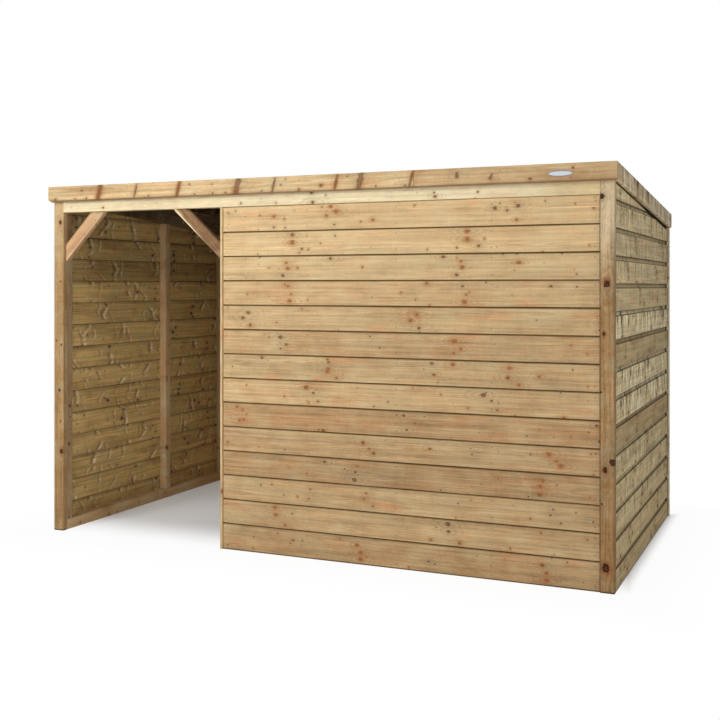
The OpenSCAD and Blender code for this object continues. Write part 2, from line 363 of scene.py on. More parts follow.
class TimberTree(Surface):
    """The material of a timber, laid on layer by layer.

    It reads the attributes grain and board, the attribute of dark marks, which are mostly painted shade, and
    the listed knots of each face.
    """

    def __init__(self, finish: TimberFinish) -> None:
        """Reads the timber's own coordinates and bends its grain round the knots.

        Args:
            finish: The look of the timber.
        """
        super().__init__(finish.name)
        self.finish = finish
        self.along, self.across, self.depth = self.split(self.read("grain"))
        self.tone, self.warmth, self.seed = self.split(self.read("board"))
        self.inside = self.depth.ease(0.012, 0.016) if finish.inner else 0.0
        self.flow = self.across - self.knots() * 1.3
        offset = self.join(self.seed * 53.0, self.seed * 17.0, self.seed * 11.0)
        self.wood = self.join(self.along, self.flow, self.depth).vector("ADD", offset)
        self.noises = {label: self.noise(self.wood, *how) for label, how in WOOD_NOISES.items()}
        self.body: object = finish.early

    def lay(self, share: object, colour: object) -> None:
        """Covers a share of the wood with a colour."""
        self.body = self.mix(share, self.body, colour)

    def near_knot(self, dx: Sock, dy: Sock, radius: Sock) -> tuple[Sock, Sock, Sock]:
        """One knot's reach.

        Args:
            dx: The distance from its centre along the grain.
            dy: The distance from its centre across the grain.
            radius: Its radius.

        Returns:
            The distance from its centre in radii, the same drawn out along the grain, and how far it pushes
            the grain sideways.
        """
        x = dx / radius * 0.78
        y = dy / radius
        xx = x * x
        yy = y * y
        reach = (xx * -0.16).math("EXPONENT")
        return (xx + yy) ** 0.5, (xx * 0.16 + yy) ** 0.5, dy * reach / (1.0 + yy)

    def whorls(self) -> tuple[Sock, Sock, Sock]:
        """Knots where rings of branches grew: several across a board at nearly one place along it.

        Returns:
            What near_knot gives for the nearest knot. The distance from the middle of the nearest ring and
            that ring's own number are kept too.
        """
        finish = self.finish
        lean = self.across * 0.05 + self.seed * 53.0
        spot = (self.along + lean) * RING_PITCH
        ring, ring_odds = self.cells(spot)
        row = (self.across + self.seed * 17.0) * LIMB_PITCH + ring_odds[0] * 7.31
        limb, limb_odds = self.cells(row)
        chance = (limb_odds[0] + ring_odds[1] * 3.7).math("FRACT")
        size = ((chance - (1.0 - finish.knot_share)) / finish.knot_share).over(0.0)
        radius = size ** 0.7 * finish.knot_radius + SMALLEST
        self.beside = (spot - ring.other("W")) / RING_PITCH
        self.ring_own = ring_odds[2]
        dx = self.beside + (limb_odds[1] - 0.5) * 0.02
        return self.near_knot(dx, (row - limb.other("W")) / LIMB_PITCH, radius)

    def knots(self) -> Sock:
        """Finds the nearest knot, of those set by chance and those listed on the face.

        Returns:
            How far all knots push the grain sideways.
        """
        self.nearest, self.widest, push = self.whorls()
        for label in KNOT_LAYERS:
            centre, middle, radius = self.split(self.read(label))
            spike = radius.math("LESS_THAN", 0.0)
            aside = self.across - middle
            slant = aside * spike * 0.25
            size = radius.math("ABSOLUTE").over(SMALLEST)
            narrow = aside * (1.0 - spike * 0.85)
            far, wide, shove = self.near_knot(self.along - centre - slant, narrow, size)
            self.nearest = self.nearest.under(far)
            self.widest = self.widest.under(wide)
            push = push + shove
        return push

    def rings(self) -> Sock:
        """Lays on the growth rings, about a pith at a distance of this timber's own.

        Returns:
            The rings' dark late wood.
        """
        finish, sway, shiver = self.finish, self.noises["sway"], self.noises["shiver"]
        white = self.node("ShaderNodeTexWhiteNoise", {"noise_dimensions": "1D"}, {"W": self.seed})
        odds = self.split(white.other("Color"))
        pith = self.flow - 0.075 - (odds[0] - 0.5) * 0.15
        heart = self.depth + 0.012 + odds[1] * 0.05
        radius = (pith * pith + heart * heart) ** 0.5 + (sway - 0.5) * 0.045 + (shiver - 0.5) * 0.004
        late = (radius / finish.ring_pitch * (0.7 + 0.6 * odds[2])).crest(0.30, 0.88, 0.93)
        self.lay(late * finish.ring_strength * (0.35 + sway * 1.2), finish.late)
        return late

    def stains(self) -> None:
        """Lays on the resin, the heartwood, the board's own warmth and the film of the treatment."""
        finish, warmth = self.finish, self.warmth
        sway, shiver, patch, line, mood, cloud = (
            self.noises[label] for label in ("sway", "shiver", "patch", "line", "mood", "cloud")
        )
        if finish.waves:
            wave = (self.flow * 75.0 + sway * 8.0 + shiver * 1.6 + self.seed * 9.0).crest(0.40, 0.80, 0.90)
            wave = wave * mood.ease(0.40, 0.60)
            self.lay(wave * (warmth.ease(-0.05, 0.25) + 0.25) * finish.waves, finish.resin)
        self.lay(patch.ease(0.50, 0.72) * finish.hearts, finish.heart)
        glow = patch.ease(0.40, 0.28) * mood.ease(0.46, 0.62)
        thread = (line - 0.5).math("ABSOLUTE").ease(0.022, 0.004) * mood.ease(0.52, 0.6) * 0.7
        self.lay(glow.over(thread) * finish.resins, finish.resin)
        self.lay(warmth.over(0.0), (0.45, 0.22, 0.09))
        self.lay((warmth * -1.0).over(0.0), (0.66, 0.56, 0.33))
        self.lay(cloud.ease(0.44, 0.66) * finish.films, finish.film)

    def fading(self) -> None:
        """Lays on the tint of one end, partly the timber's own tone and partly painted light, the paler
        edge, what the sun bleached, and the tint of the inner side.
        """
        finish = self.finish
        if finish.end_tone_and_light_from:
            level = self.along + (self.noises["sway"] - 0.5) * 0.5
            self.lay(level.ease(finish.end_tone_and_light_from - 0.25, finish.end_tone_and_light_from + 0.25) * 0.9, finish.pale)
        if finish.sap_edge:
            self.lay(self.across.ease(finish.sap_edge + 0.003, finish.sap_edge - 0.002), (0.66, 0.50, 0.30))
        if finish.bleach:
            washed = self.join(self.along, self.across, self.seed * 7.0).vector("SCALE", finish.drip_scale)
            pale = self.noise(washed, (24.0, 7.0, 10.0), 3.0, 0.65).ease(0.44, 0.62)
            share = finish.bleach * self.warmth.ease(0.16, -0.14) * (1.0 - self.inside)
            self.lay(pale * share, (0.92, 0.84, 0.58))
        if finish.inner:
            self.lay(self.inside, self.mix(1.0, self.body, finish.inner, "MULTIPLY"))

    def curls(self) -> None:
        """Lays on the pale curls of grain beside the rings of knots, each with a shadow."""
        for count, (aside, reach, share) in enumerate(STRANDS):
            walk = self.join(self.ring_own * 31.0 + count * 7.0, self.across, self.seed * 23.0)
            bend = self.noise(walk, (1.0, 8.0, 1.0), 1.0)
            shown = self.noise(walk, (2.0, 15.0, 1.0), 1.0).ease(0.44, 0.60)
            shown = shown * self.finish.ghosts * self.inside * share
            gap = self.beside - aside + (bend - 0.5) * 0.24 + (self.noises["shiver"] - 0.5) * 0.03
            shadow = (gap - reach * 1.7).math("ABSOLUTE").ease(reach * 1.1, reach * 0.3)
            self.lay(shadow * shown * 0.9, (0.14, 0.08, 0.04))
            light = gap.math("ABSOLUTE").ease(reach, reach * 0.25)
            self.lay(light * shown, (0.92, 0.76, 0.48))

    def shade(self) -> None:
        """Brightens and darkens the wood by the board's tone, its streaks, fibre and saw marks."""
        finish = self.finish
        strengths = {
            "streaks": finish.streak * 2.0,
            "fibre": 0.46,
            "cloud": finish.cloud * 2.0,
            "grit": finish.saw_marks,
            "rough": finish.speckle,
        }
        shade = 1.0 + self.tone
        for label, strength in strengths.items():
            shade = shade + (self.noises[label] - 0.5) * strength
        self.body = self.body.vector("SCALE", shade.over(0.05))

    def set_knots(self) -> Sock:
        """Lays on the knots with their halos, and the pin knots between them.

        Returns:
            The distance from the nearest knot in radii, with a ragged edge.
        """
        finish = self.finish
        fibre, shiver, rough, mood, cloud = (
            self.noises[label] for label in ("fibre", "shiver", "rough", "mood", "cloud")
        )
        pins, pin_odds = self.cells(self.wood, PIN_PITCH, "2D")
        pin_size = pin_odds[0].ease(1.0 - finish.pin_share, 1.0) * finish.pin_radius + SMALLEST
        nearest = self.nearest.under(pins / PIN_PITCH / pin_size)
        edge = nearest + (fibre - 0.5) * 1.0 + (shiver - 0.5) * 0.9 + (rough - 0.5) * 1.6
        red = mood.ease(0.40, 0.56)
        swirl = (self.widest * 0.75 + shiver * 2.6 + cloud * 1.2).crest(0.35, 0.62, 0.78)
        lines = swirl * self.widest.ease(5.5, 1.6)
        self.lay(edge.ease(7.0, 1.6) * 0.26, self.mix(red, finish.film, finish.heart))
        self.lay(lines * finish.swirls, self.body.vector("MULTIPLY", (0.62, 0.50, 0.40)))
        self.lay(edge.ease(2.8, 1.0) * (0.35 + red * 0.50), finish.halo)
        eye = edge.ease(0.80, 0.35) * (1.25 - finish.core)
        core = self.mix((red * finish.live).over(eye), finish.knot, finish.halo)
        self.lay(edge.ease(1.35, 0.85) * finish.core, core)
        return edge

    def weather(self) -> None:
        """Lays on the dark runs of rain, strongest at the top of a board."""
        finish = self.finish
        run_down = self.join(self.along, self.across, self.seed * 9.0).vector("SCALE", finish.drip_scale)
        hairs = self.noise(run_down, (62.0, 6.0, 30.0), 2.0, 0.6)
        runs = self.noise(run_down, (14.0, 3.6, 30.0), 3.0, 0.7)
        wet = self.across.ease(0.00, 0.12) * 0.7 + 0.3
        dark = (hairs.ease(0.61, 0.68) * 0.8).over(runs.ease(0.56, 0.66) * 0.70)
        open_face = (self.warmth.ease(0.16, -0.14) * 0.8 + 0.2) * (1.0 - self.inside)
        self.lay(dark * wet * finish.drips * open_face, (0.12, 0.078, 0.034))

    def build(self) -> bpy.types.Material:
        """Makes the material.

        Returns:
            The material.
        """
        finish, noises = self.finish, self.noises
        late = self.rings()
        self.stains()
        self.fading()
        if finish.ghosts:
            self.curls()
        self.shade()
        edge = self.set_knots()
        if finish.drips:
            self.weather()
        # Lays on the mesh's dark marks: mostly painted shade in channels, gaps and ledges.
        self.lay(self.read("dirt_and_shade", "Fac"), finish.dirt_and_shade)
        height = noises["fibre"] * 0.35 + late * 0.3 + noises["grit"] * finish.saw_marks * 2.0
        return self.close(
            Base_Color=self.body,
            Roughness=finish.roughness + (noises["streaks"] - 0.5) * 0.25 - edge.ease(1.1, 0.8) * 0.12,
            Specular_IOR_Level=0.10,
            Normal=self.bump(height - edge.ease(1.3, 0.9) * 0.4, 0.55, finish.relief),
        )


@dataclass(frozen=True)
class FeltFinish:
    """Mineral roofing felt: bitumen pressed full of crushed slate."""

    name: str = "mineral_felt"

    def build(self) -> bpy.types.Material:
        """Makes the material on Object coordinates.

        Returns:
            The material.
        """
        graph = Surface(self.name)
        place = graph.place()
        grains, flecks = graph.cells(place, 620.0, "3D")
        stain = graph.noise(place, (1.6, 0.9, 1.0), 4.0, 0.6)
        body = graph.mix(flecks[0].ease(0.25, 0.95), (0.018, 0.028, 0.021), (0.085, 0.115, 0.088))
        body = graph.mix(flecks[1].ease(0.93, 1.0), body, (0.26, 0.28, 0.25))
        return graph.close(
            Base_Color=body.vector("SCALE", 0.75 + stain * 0.5),
            Roughness=0.82 + (flecks[2] - 0.5) * 0.2,
            Specular_IOR_Level=0.25,
            Normal=graph.bump(1.0 - grains, 0.6, 0.0009),
        )


@dataclass(frozen=True)
class StrandBoardFinish:
    """Roof sheets pressed from long flat wood strands."""

    name: str = "strand_board"

    def build(self) -> bpy.types.Material:
        """Makes the material on Object coordinates.

        Returns:
            The material.
        """
        graph = Surface(self.name)
        place = graph.place()
        sway = graph.noise(place, (9.0, 9.0, 9.0), 2.0)
        heights: list[Sock] = []
        body: object = (0.10, 0.056, 0.030)
        for turn, stretch in ((0.5, 15.0), (1.9, 19.0), (2.8, 17.0)):
            laid = {"Vector": place, "Rotation": (0.0, 0.0, turn), "Scale": (stretch, stretch * 4.5, 30.0)}
            spun = graph.node("ShaderNodeMapping", {"vector_type": "POINT"}, laid)
            _, odds = graph.cells(spun, 1.0, "2D")
            tint = graph.mix(odds[1], (0.065, 0.035, 0.018), (0.14, 0.085, 0.048))
            body = graph.mix(odds[0].ease(0.50, 0.56), body, tint)
            heights.append(odds[2])
        height = (heights[0] + heights[1] + heights[2]) * 0.33
        return graph.close(
            Base_Color=body.vector("SCALE", 0.7 + sway * 0.5),
            Roughness=0.6 + heights[0] * 0.2,
            Specular_IOR_Level=0.3,
            Normal=graph.bump(height, 0.5, 0.0008),
        )


@dataclass(frozen=True)
class SteelFinish:
    """Zinc-plated steel that has started to dull and to spot with rust."""

    name: str
    clean: Colour
    rust_share: float = 0.12

    def build(self) -> bpy.types.Material:
        """Makes the material on Object coordinates and the attribute wear.

        Returns:
            The material.
        """
        graph = Surface(self.name)
        spots = graph.noise(graph.place(), (420.0, 420.0, 420.0), 3.0, 0.6)
        worn = spots + graph.read("wear", "Fac") * 0.35
        rust = worn.ease(0.86 - self.rust_share, 0.98 - self.rust_share)
        body = graph.mix(rust, self.clean, (0.16, 0.065, 0.025))
        return graph.close(
            Base_Color=body.vector("SCALE", 0.75 + spots * 0.5),
            Metallic=1.0 - rust,
            Roughness=0.38 + rust * 0.4 + (spots - 0.5) * 0.2,
            Normal=graph.bump(spots, 0.3, 0.0003),
        )


@dataclass(frozen=True)
class PlateFinish:
    """Brushed aluminium, lacquered pale."""

    name: str = "pale_plate"

    def build(self) -> bpy.types.Material:
        """Makes the material on Object coordinates and the attribute rim, which paints the rim dark as the
        shadow of the fine gap round the plate.

        Returns:
            The material.
        """
        graph = Surface(self.name)
        place = graph.place()
        brushing = graph.noise(place, (30.0, 900.0, 2600.0), 2.0, 0.6)
        cloud = graph.noise(place, (40.0, 40.0, 40.0), 2.0)
        body = graph.mix(brushing, (0.56, 0.60, 0.63), (0.68, 0.71, 0.74))
        # Painted shadow: the rim is dark, as the shade of the fine gap round the plate.
        body = graph.mix(graph.read("rim", "Fac"), body, (0.20, 0.23, 0.28))
        return graph.close(
            Base_Color=body.vector("SCALE", 0.9 + cloud * 0.15),
            Metallic=0.05,
            Roughness=0.38 + brushing * 0.15,
            Specular_IOR_Level=0.3,
            Normal=graph.bump(brushing, 0.15, 0.0002),
        )


# ---------------------------------------------------------------- shared mesh work


class Run(Enum):
    """How a timber lies: the directions along its grain, across its face and through it."""

    UPRIGHT = ((0, 0, 1), (1, 0, 0), (0, 1, 0))
    UPRIGHT_SIDE = ((0, 0, 1), (0, 1, 0), (1, 0, 0))
    ACROSS = ((1, 0, 0), (0, 0, 1), (0, 1, 0))
    BACKWARD = ((0, 1, 0), (0, 0, 1), (1, 0, 0))
    RISING = ((0.7071, 0, 0.7071), (-0.7071, 0, 0.7071), (0, 1, 0))
    FALLING = ((0.7071, 0, -0.7071), (0.7071, 0, 0.7071), (0, 1, 0))

    def grain(self, spot: Vector, fall: float) -> Vector:
        """A point's distances along, across and through a timber, which may fall towards the rear."""
        leant = Vector((spot.x, spot.y, spot.z + spot.y * fall)) if self is Run.BACKWARD else spot
        return Vector(leant.dot(Vector(axis)) for axis in self.value)


def islands(bm: bmesh.types.BMesh) -> list[list[bmesh.types.BMVert]]:
    """The separate solids of a mesh, as lists of vertices.

    Args:
        bm: The mesh.

    Returns:
        The lists, in the order of the solids' lowest corners.
    """
    left = set(bm.verts)
    found = []
    while left:
        first = left.pop()
        group, edge = [first], [first]
        while edge:
            near = [e.other_vert(v) for v in edge for e in v.link_edges]
            edge = [v for v in set(near) if v in left]
            left.difference_update(edge)
            group.extend(edge)
        found.append(group)
    return sorted(found, key=lambda g: tuple(round(min(v.co[i] for v in g), 4) for i in range(3)))


def solid_copy(node: str) -> bmesh.types.BMesh:
    """A CAD node's shape with shared corners and whole flat faces.

    Args:
        node: The node's name.

    Returns:
        A mesh that the caller frees.
    """
    bm = bmesh.new()
    bm.from_mesh(bpy.data.objects[node].data)
    bmesh.ops.remove_doubles(bm, verts=bm.verts, dist=1e-5)
    bmesh.ops.dissolve_limit(bm, angle_limit=math.radians(0.4), verts=bm.verts, edges=bm.edges)
    return bm


def score(
    bm: bmesh.types.BMesh, point: Sequence[float], normal: Sequence[float], clear: bool = False
) -> dict:
    """Cuts a mesh's faces along a plane, and clears what lies beyond it where it is told to."""
    whole = [*bm.verts, *bm.edges, *bm.faces]
    return bmesh.ops.bisect_plane(bm, geom=whole, plane_co=point, plane_no=normal, clear_outer=clear)


def saw(bm: bmesh.types.BMesh, point: Sequence[float], normal: Sequence[float]) -> None:
    """Takes away what lies beyond a plane and closes the cuts.

    Args:
        bm: The solids.
        point: A point of the plane.
        normal: The direction of what is taken away.
    """
    cut = score(bm, point, normal, clear=True)
    edges = [e for e in cut["geom_cut"] if isinstance(e, bmesh.types.BMEdge)]
    bmesh.ops.triangle_fill(bm, use_beauty=True, use_dissolve=True, edges=edges, normal=normal)


def join(bm: bmesh.types.BMesh, other: bmesh.types.BMesh) -> None:
    """Adds another mesh in work, which is freed, to this one.

    Args:
        bm: The mesh that grows.
        other: The mesh that is added.
    """
    spare = bpy.data.meshes.new("spare")
    other.to_mesh(spare)
    other.free()
    bm.from_mesh(spare)
    bpy.data.meshes.remove(spare)


def skin(bm: bmesh.types.BMesh, rings: Sequence[Sequence[bmesh.types.BMVert]]) -> None:
    """Joins closed rings of vertices into a tube.

    Args:
        bm: The mesh.
        rings: The rings, from end to end.
    """
    for near, far in zip(rings, rings[1:], strict=False):
        for i, vert in enumerate(near):
            j = (i + 1) % len(near)
            bm.faces.new((vert, near[j], far[j], far[i]))


def dirt_and_shade_of(bm: bmesh.types.BMesh) -> bmesh.types.BMLayerItem:
    """The layer that holds how dark each vertex is painted, mostly as painted shade."""
    return bm.verts.layers.float.get("dirt_and_shade") or bm.verts.layers.float.new("dirt_and_shade")


def carry_knots(bm: bmesh.types.BMesh, knots_of: Callable[[bmesh.types.BMFace], Sequence[Knot]]) -> None:
    """Writes on each face the three listed knots that lie nearest to it along the grain.

    Args:
        bm: A mesh with the attribute grain.
        knots_of: Gives the knots of the board that a face belongs to.
    """
    grain = bm.verts.layers.float_vector["grain"]
    layers = [bm.faces.layers.float_vector.new(label) for label in KNOT_LAYERS]
    for face in bm.faces:
        along = sum(v[grain][0] for v in face.verts) / len(face.verts)
        near = sorted(knots_of(face), key=lambda knot: abs(knot[0] - along))
        for layer, knot in zip(layers, near, strict=False):
            face[layer] = knot


def darken_foot(bm: bmesh.types.BMesh, height: float = 0.005) -> None:
    """Darkens the lowest edge of what stands on the ground.

    Args:
        bm: The piece, in place.
        height: How high the darkened edge reaches.
    """
    dirt_and_shade = dirt_and_shade_of(bm)
    for level in (height, height * 2):
        score(bm, (0.0, 0.0, level), (0.0, 0.0, 1.0))
    for vert in bm.verts:
        if vert.co.z < height + NEAR:
            vert[dirt_and_shade] = max(vert[dirt_and_shade], 0.85)


def show(name: str, data: bpy.types.ID) -> bpy.types.Object:
    """Puts a mesh, lamp or camera in the scene.

    Args:
        name: The object's name.
        data: What it shows.

    Returns:
        The object.
    """
    made = bpy.data.objects.new(name, data)
    bpy.context.scene.collection.objects.link(made)
    return made


def put(name: str, bm: bmesh.types.BMesh, material: bpy.types.Material) -> bpy.types.Object:
    """Turns a mesh in work into an object.

    Args:
        name: The object's name.
        bm: The mesh, which is freed.
        material: Its finish.

    Returns:
        The object, in the scene.
    """
    mesh = bpy.data.meshes.new(name)
    bm.to_mesh(mesh)
    bm.free()
    mesh.materials.append(material)
    return show(name, mesh)


def mount(piece: bpy.types.Object, slot: str, *nodes: str) -> bpy.types.Object:
    """Ties a finished piece to the frame.

    Args:
        piece: The piece.
        slot: Not used.
        nodes: The CAD nodes that it stands for.

    Returns:
        The piece.
    """
    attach(piece, "root")
    if nodes:
        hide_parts(*nodes)
    return piece


@dataclass(frozen=True)
class Slope:
    """A plane that falls towards the rear."""

    height: float
    fall: float

    @classmethod
    def through(cls, spots: Iterable[Vector], pick: Callable[[Iterable[float]], float]) -> "Slope":
        """The plane through the ends of a roof layer or wall.

        Args:
            spots: The layer's points.
            pick: Whether the plane lies along the lowest points or the highest, as min or max.

        Returns:
            The plane, by its height at y = 0.
        """
        spots = list(spots)
        front = min(spot.y for spot in spots)
        rear = max(spot.y for spot in spots)
        high = pick(spot.z for spot in spots if spot.y < front + NEAR)
        low = pick(spot.z for spot in spots if spot.y > rear - NEAR)
        fall = (high - low) / (rear - front)
        return cls(high + front * fall, fall)

    @classmethod
    def under(cls, mesh: bpy.types.Mesh) -> "Slope":
        """The plane of the underside of a roof layer."""
        return cls.through((v.co for v in mesh.vertices), min)

    @classmethod
    def step(cls, mesh: bpy.types.Mesh) -> "Slope":
        """The plane at which the outer face of the right wall's boards ends."""
        outer = max(v.co.x for v in mesh.vertices)
        return cls.through((v.co for v in mesh.vertices if v.co.x > outer - NEAR), max)

    def at(self, y: float) -> float:
        """The plane's height at a distance y."""
        return self.height - y * self.fall


def grown(base: bpy.types.Object, tree: bpy.types.NodeTree, inputs: dict) -> bpy.types.Mesh:
    """Runs a Geometry Nodes tree on an object and keeps the result as a plain mesh.

    Args:
        base: The object that the tree starts from, which is removed.
        tree: The tree.
        inputs: The tree's inputs by name.

    Returns:
        The mesh.
    """
    modifier = base.modifiers.new("grow", "NODES")
    modifier.node_group = tree
    sockets = {s.name: s.identifier for s in tree.interface.items_tree if s.in_out == "INPUT"}
    for name, value in inputs.items():
        modifier[sockets[name]] = value
    bpy.context.view_layer.update()
    graph = bpy.context.evaluated_depsgraph_get()
    seen = base.evaluated_get(graph)
    mesh = bpy.data.meshes.new_from_object(seen, preserve_all_data_layers=True, depsgraph=graph)
    bpy.data.objects.remove(base)
    return mesh


class Growth(Graph):
    """A Geometry Nodes tree with named inputs."""

    def __init__(self, name: str, inputs: dict[str, str]) -> None:
        """Starts a tree.

        Args:
            name: The tree's name.
            inputs: The kind of each named input, as in the sockets' type names.
        """
        tree = bpy.data.node_groups.new(name, "GeometryNodeTree")
        super().__init__(tree)
        tree.interface.new_socket("Geometry", in_out="INPUT", socket_type="NodeSocketGeometry")
        tree.interface.new_socket("Geometry", in_out="OUTPUT", socket_type="NodeSocketGeometry")
        for label, kind in inputs.items():
            tree.interface.new_socket(label, in_out="INPUT", socket_type=f"NodeSocket{kind}")
        self.inputs = self.node("NodeGroupInput")

    def take(self, *labels: str) -> list[Sock]:
        """Some of the tree's inputs."""
        return [self.inputs.other(label) for label in labels]

    def chance(self, low: object, high: object, seed: object) -> Sock:
        """A random value from low to high."""
        inputs = {"Min": low, "Max": high, "Seed": seed}
        return self.node("FunctionNodeRandomValue", {"data_type": "FLOAT"}, inputs)

    def carried(self, label: str, kind: str) -> Sock:
        """A named attribute of the geometry."""
        return self.node("GeometryNodeInputNamedAttribute", {"data_type": kind}, {"Name": label})

    def keep(self, geometry: Sock, label: str, value: object, domain: str, kind: str) -> Sock:
        """Stores a named attribute.

        Args:
            geometry: The geometry.
            label: The attribute's name.
            value: Its value.
            domain: Where it is stored.
            kind: Its data type.

        Returns:
            The geometry with the attribute.
        """
        settings = {"data_type": kind, "domain": domain}
        inputs = {"Geometry": geometry, "Name": label, "Value": value}
        return self.node("GeometryNodeStoreNamedAttribute", settings, inputs)

    def move(self, geometry: Sock, offset: Sock) -> Sock:
        """The geometry with each point moved by an offset."""
        return self.node("GeometryNodeSetPosition", {}, {"Geometry": geometry, "Offset": offset})

    def copies(self, points: Sock, shape: Sock, turn: Sock) -> Sock:
        """Copies of a shape on points, each with its own turn."""
        inputs = {"Points": points, "Instance": shape, "Rotation": turn}
        return self.node("GeometryNodeInstanceOnPoints", {}, inputs)

    def real(self, geometry: Sock) -> Sock:
        """The geometry with its copies made real."""
        return self.node("GeometryNodeRealizeInstances", {}, {"Geometry": geometry})

    def close(self, geometry: Sock) -> bpy.types.NodeTree:
        """Ends the tree with real geometry in the finish that its input names.

        Args:
            geometry: The finished geometry, copies or real.

        Returns:
            The tree.
        """
        dressed = {"Geometry": self.real(geometry), "Material": self.take("Finish")[0]}
        self.node("NodeGroupOutput", {}, {"Geometry": self.node("GeometryNodeSetMaterial", {}, dressed)})
        return self.tree


# ---------------------------------------------------------------- lapped walls


class Facing(Enum):
    """The side that a wall's boards face, by the turn that brings a front wall there."""

    FRONT = 0.0
    RIGHT = 90.0
    BACK = 180.0
    LEFT = -90.0

    @property
    def sideways(self) -> bool:
        """Whether the wall runs from front to rear."""
        return self in (Facing.LEFT, Facing.RIGHT)

    def matrix(self, low: Vector, high: Vector) -> Matrix:
        """The place of a wall whose boards are drawn along +X with their faces at y = 0.

        Args:
            low: The lowest corner of the space that the boards fill.
            high: The highest corner.

        Returns:
            The matrix that puts them there.
        """
        x = high.x if self in (Facing.RIGHT, Facing.BACK) else low.x
        y = high.y if self in (Facing.BACK, Facing.LEFT) else low.y
        return Matrix.Translation((x, y, low.z)) @ Matrix.Rotation(math.radians(self.value), 4, "Z")


def lapped_tree() -> bpy.types.NodeTree:
    """Makes the tree that stacks one board into a lapped wall.

    Returns:
        The tree. It starts from one board, whose attribute grain holds along, across and depth.
    """
    sizes = ("Cover", "First Cover", "Tilt", "Wave", "Ragged", "Tone")
    kinds = {"Boards": "Int", **dict.fromkeys(sizes, "Float"), "Seed": "Int", "Finish": "Material"}
    graph = Growth("lapped_boards", kinds)
    blank, count, seed = graph.take("Geometry", "Boards", "Seed")
    cover, first, tilt, wave, ragged, tone = graph.take(*sizes)
    row = graph.node("GeometryNodeInputIndex")
    ladder = graph.node("GeometryNodeMeshLine", {}, {"Count": count, "Offset": graph.join(0.0, 0.0, cover)})
    ladder = graph.move(ladder, graph.join(0.0, 0.0, row.under(1.0) * (first - cover)))
    slide = graph.chance(ragged * -1.0, ragged, seed)
    ladder = graph.move(ladder, graph.join(slide, graph.chance(-0.0004, 0.0004, seed + 1.0), 0.0))
    lean = graph.chance(-0.004, 0.004, seed + 2.0)
    boards = graph.copies(ladder, blank, graph.join(lean, graph.chance(tilt * -1.0, tilt, seed + 3.0), 0.0))
    look = graph.join(
        graph.chance(tone * -1.0, tone, seed + 4.0),
        graph.chance(tone * -0.8, tone * 0.9, seed + 5.0),
        graph.chance(0.0, 1.0, seed + 6.0),
    )
    boards = graph.keep(boards, "board", look, "INSTANCE", "FLOAT_VECTOR")
    real = graph.real(graph.keep(boards, "row", row, "INSTANCE", "FLOAT"))
    level = graph.carried("row", "FLOAT")
    along, across, depth = graph.split(graph.carried("grain", "FLOAT_VECTOR"))
    lowest = 1.0 - level.under(1.0)
    upper = (across / cover).math("GREATER_THAN", 0.5)
    stretch = lowest * upper * (first - cover)
    spot = graph.join(along * 1.4, level * 7.3, seed * 0.37)
    bow = graph.node("ShaderNodeTexNoise", {}, {"Vector": spot, "Scale": 1.0, "Detail": 2.0}) - 0.5
    drift = graph.join(0.0, bow * wave * 0.5, stretch + bow * wave * 2.0 * (1.0 - lowest))
    real = graph.move(real, drift)
    real = graph.keep(real, "grain", graph.join(along, across + stretch, depth), "POINT", "FLOAT_VECTOR")
    return graph.close(real)


@dataclass(frozen=True)
class BoardLook:
    """How one board differs from the next: brightness, partly painted light on the front, warmth and where
    its first knots lie.
    """

    tone: float
    warmth: float
    whorl: float


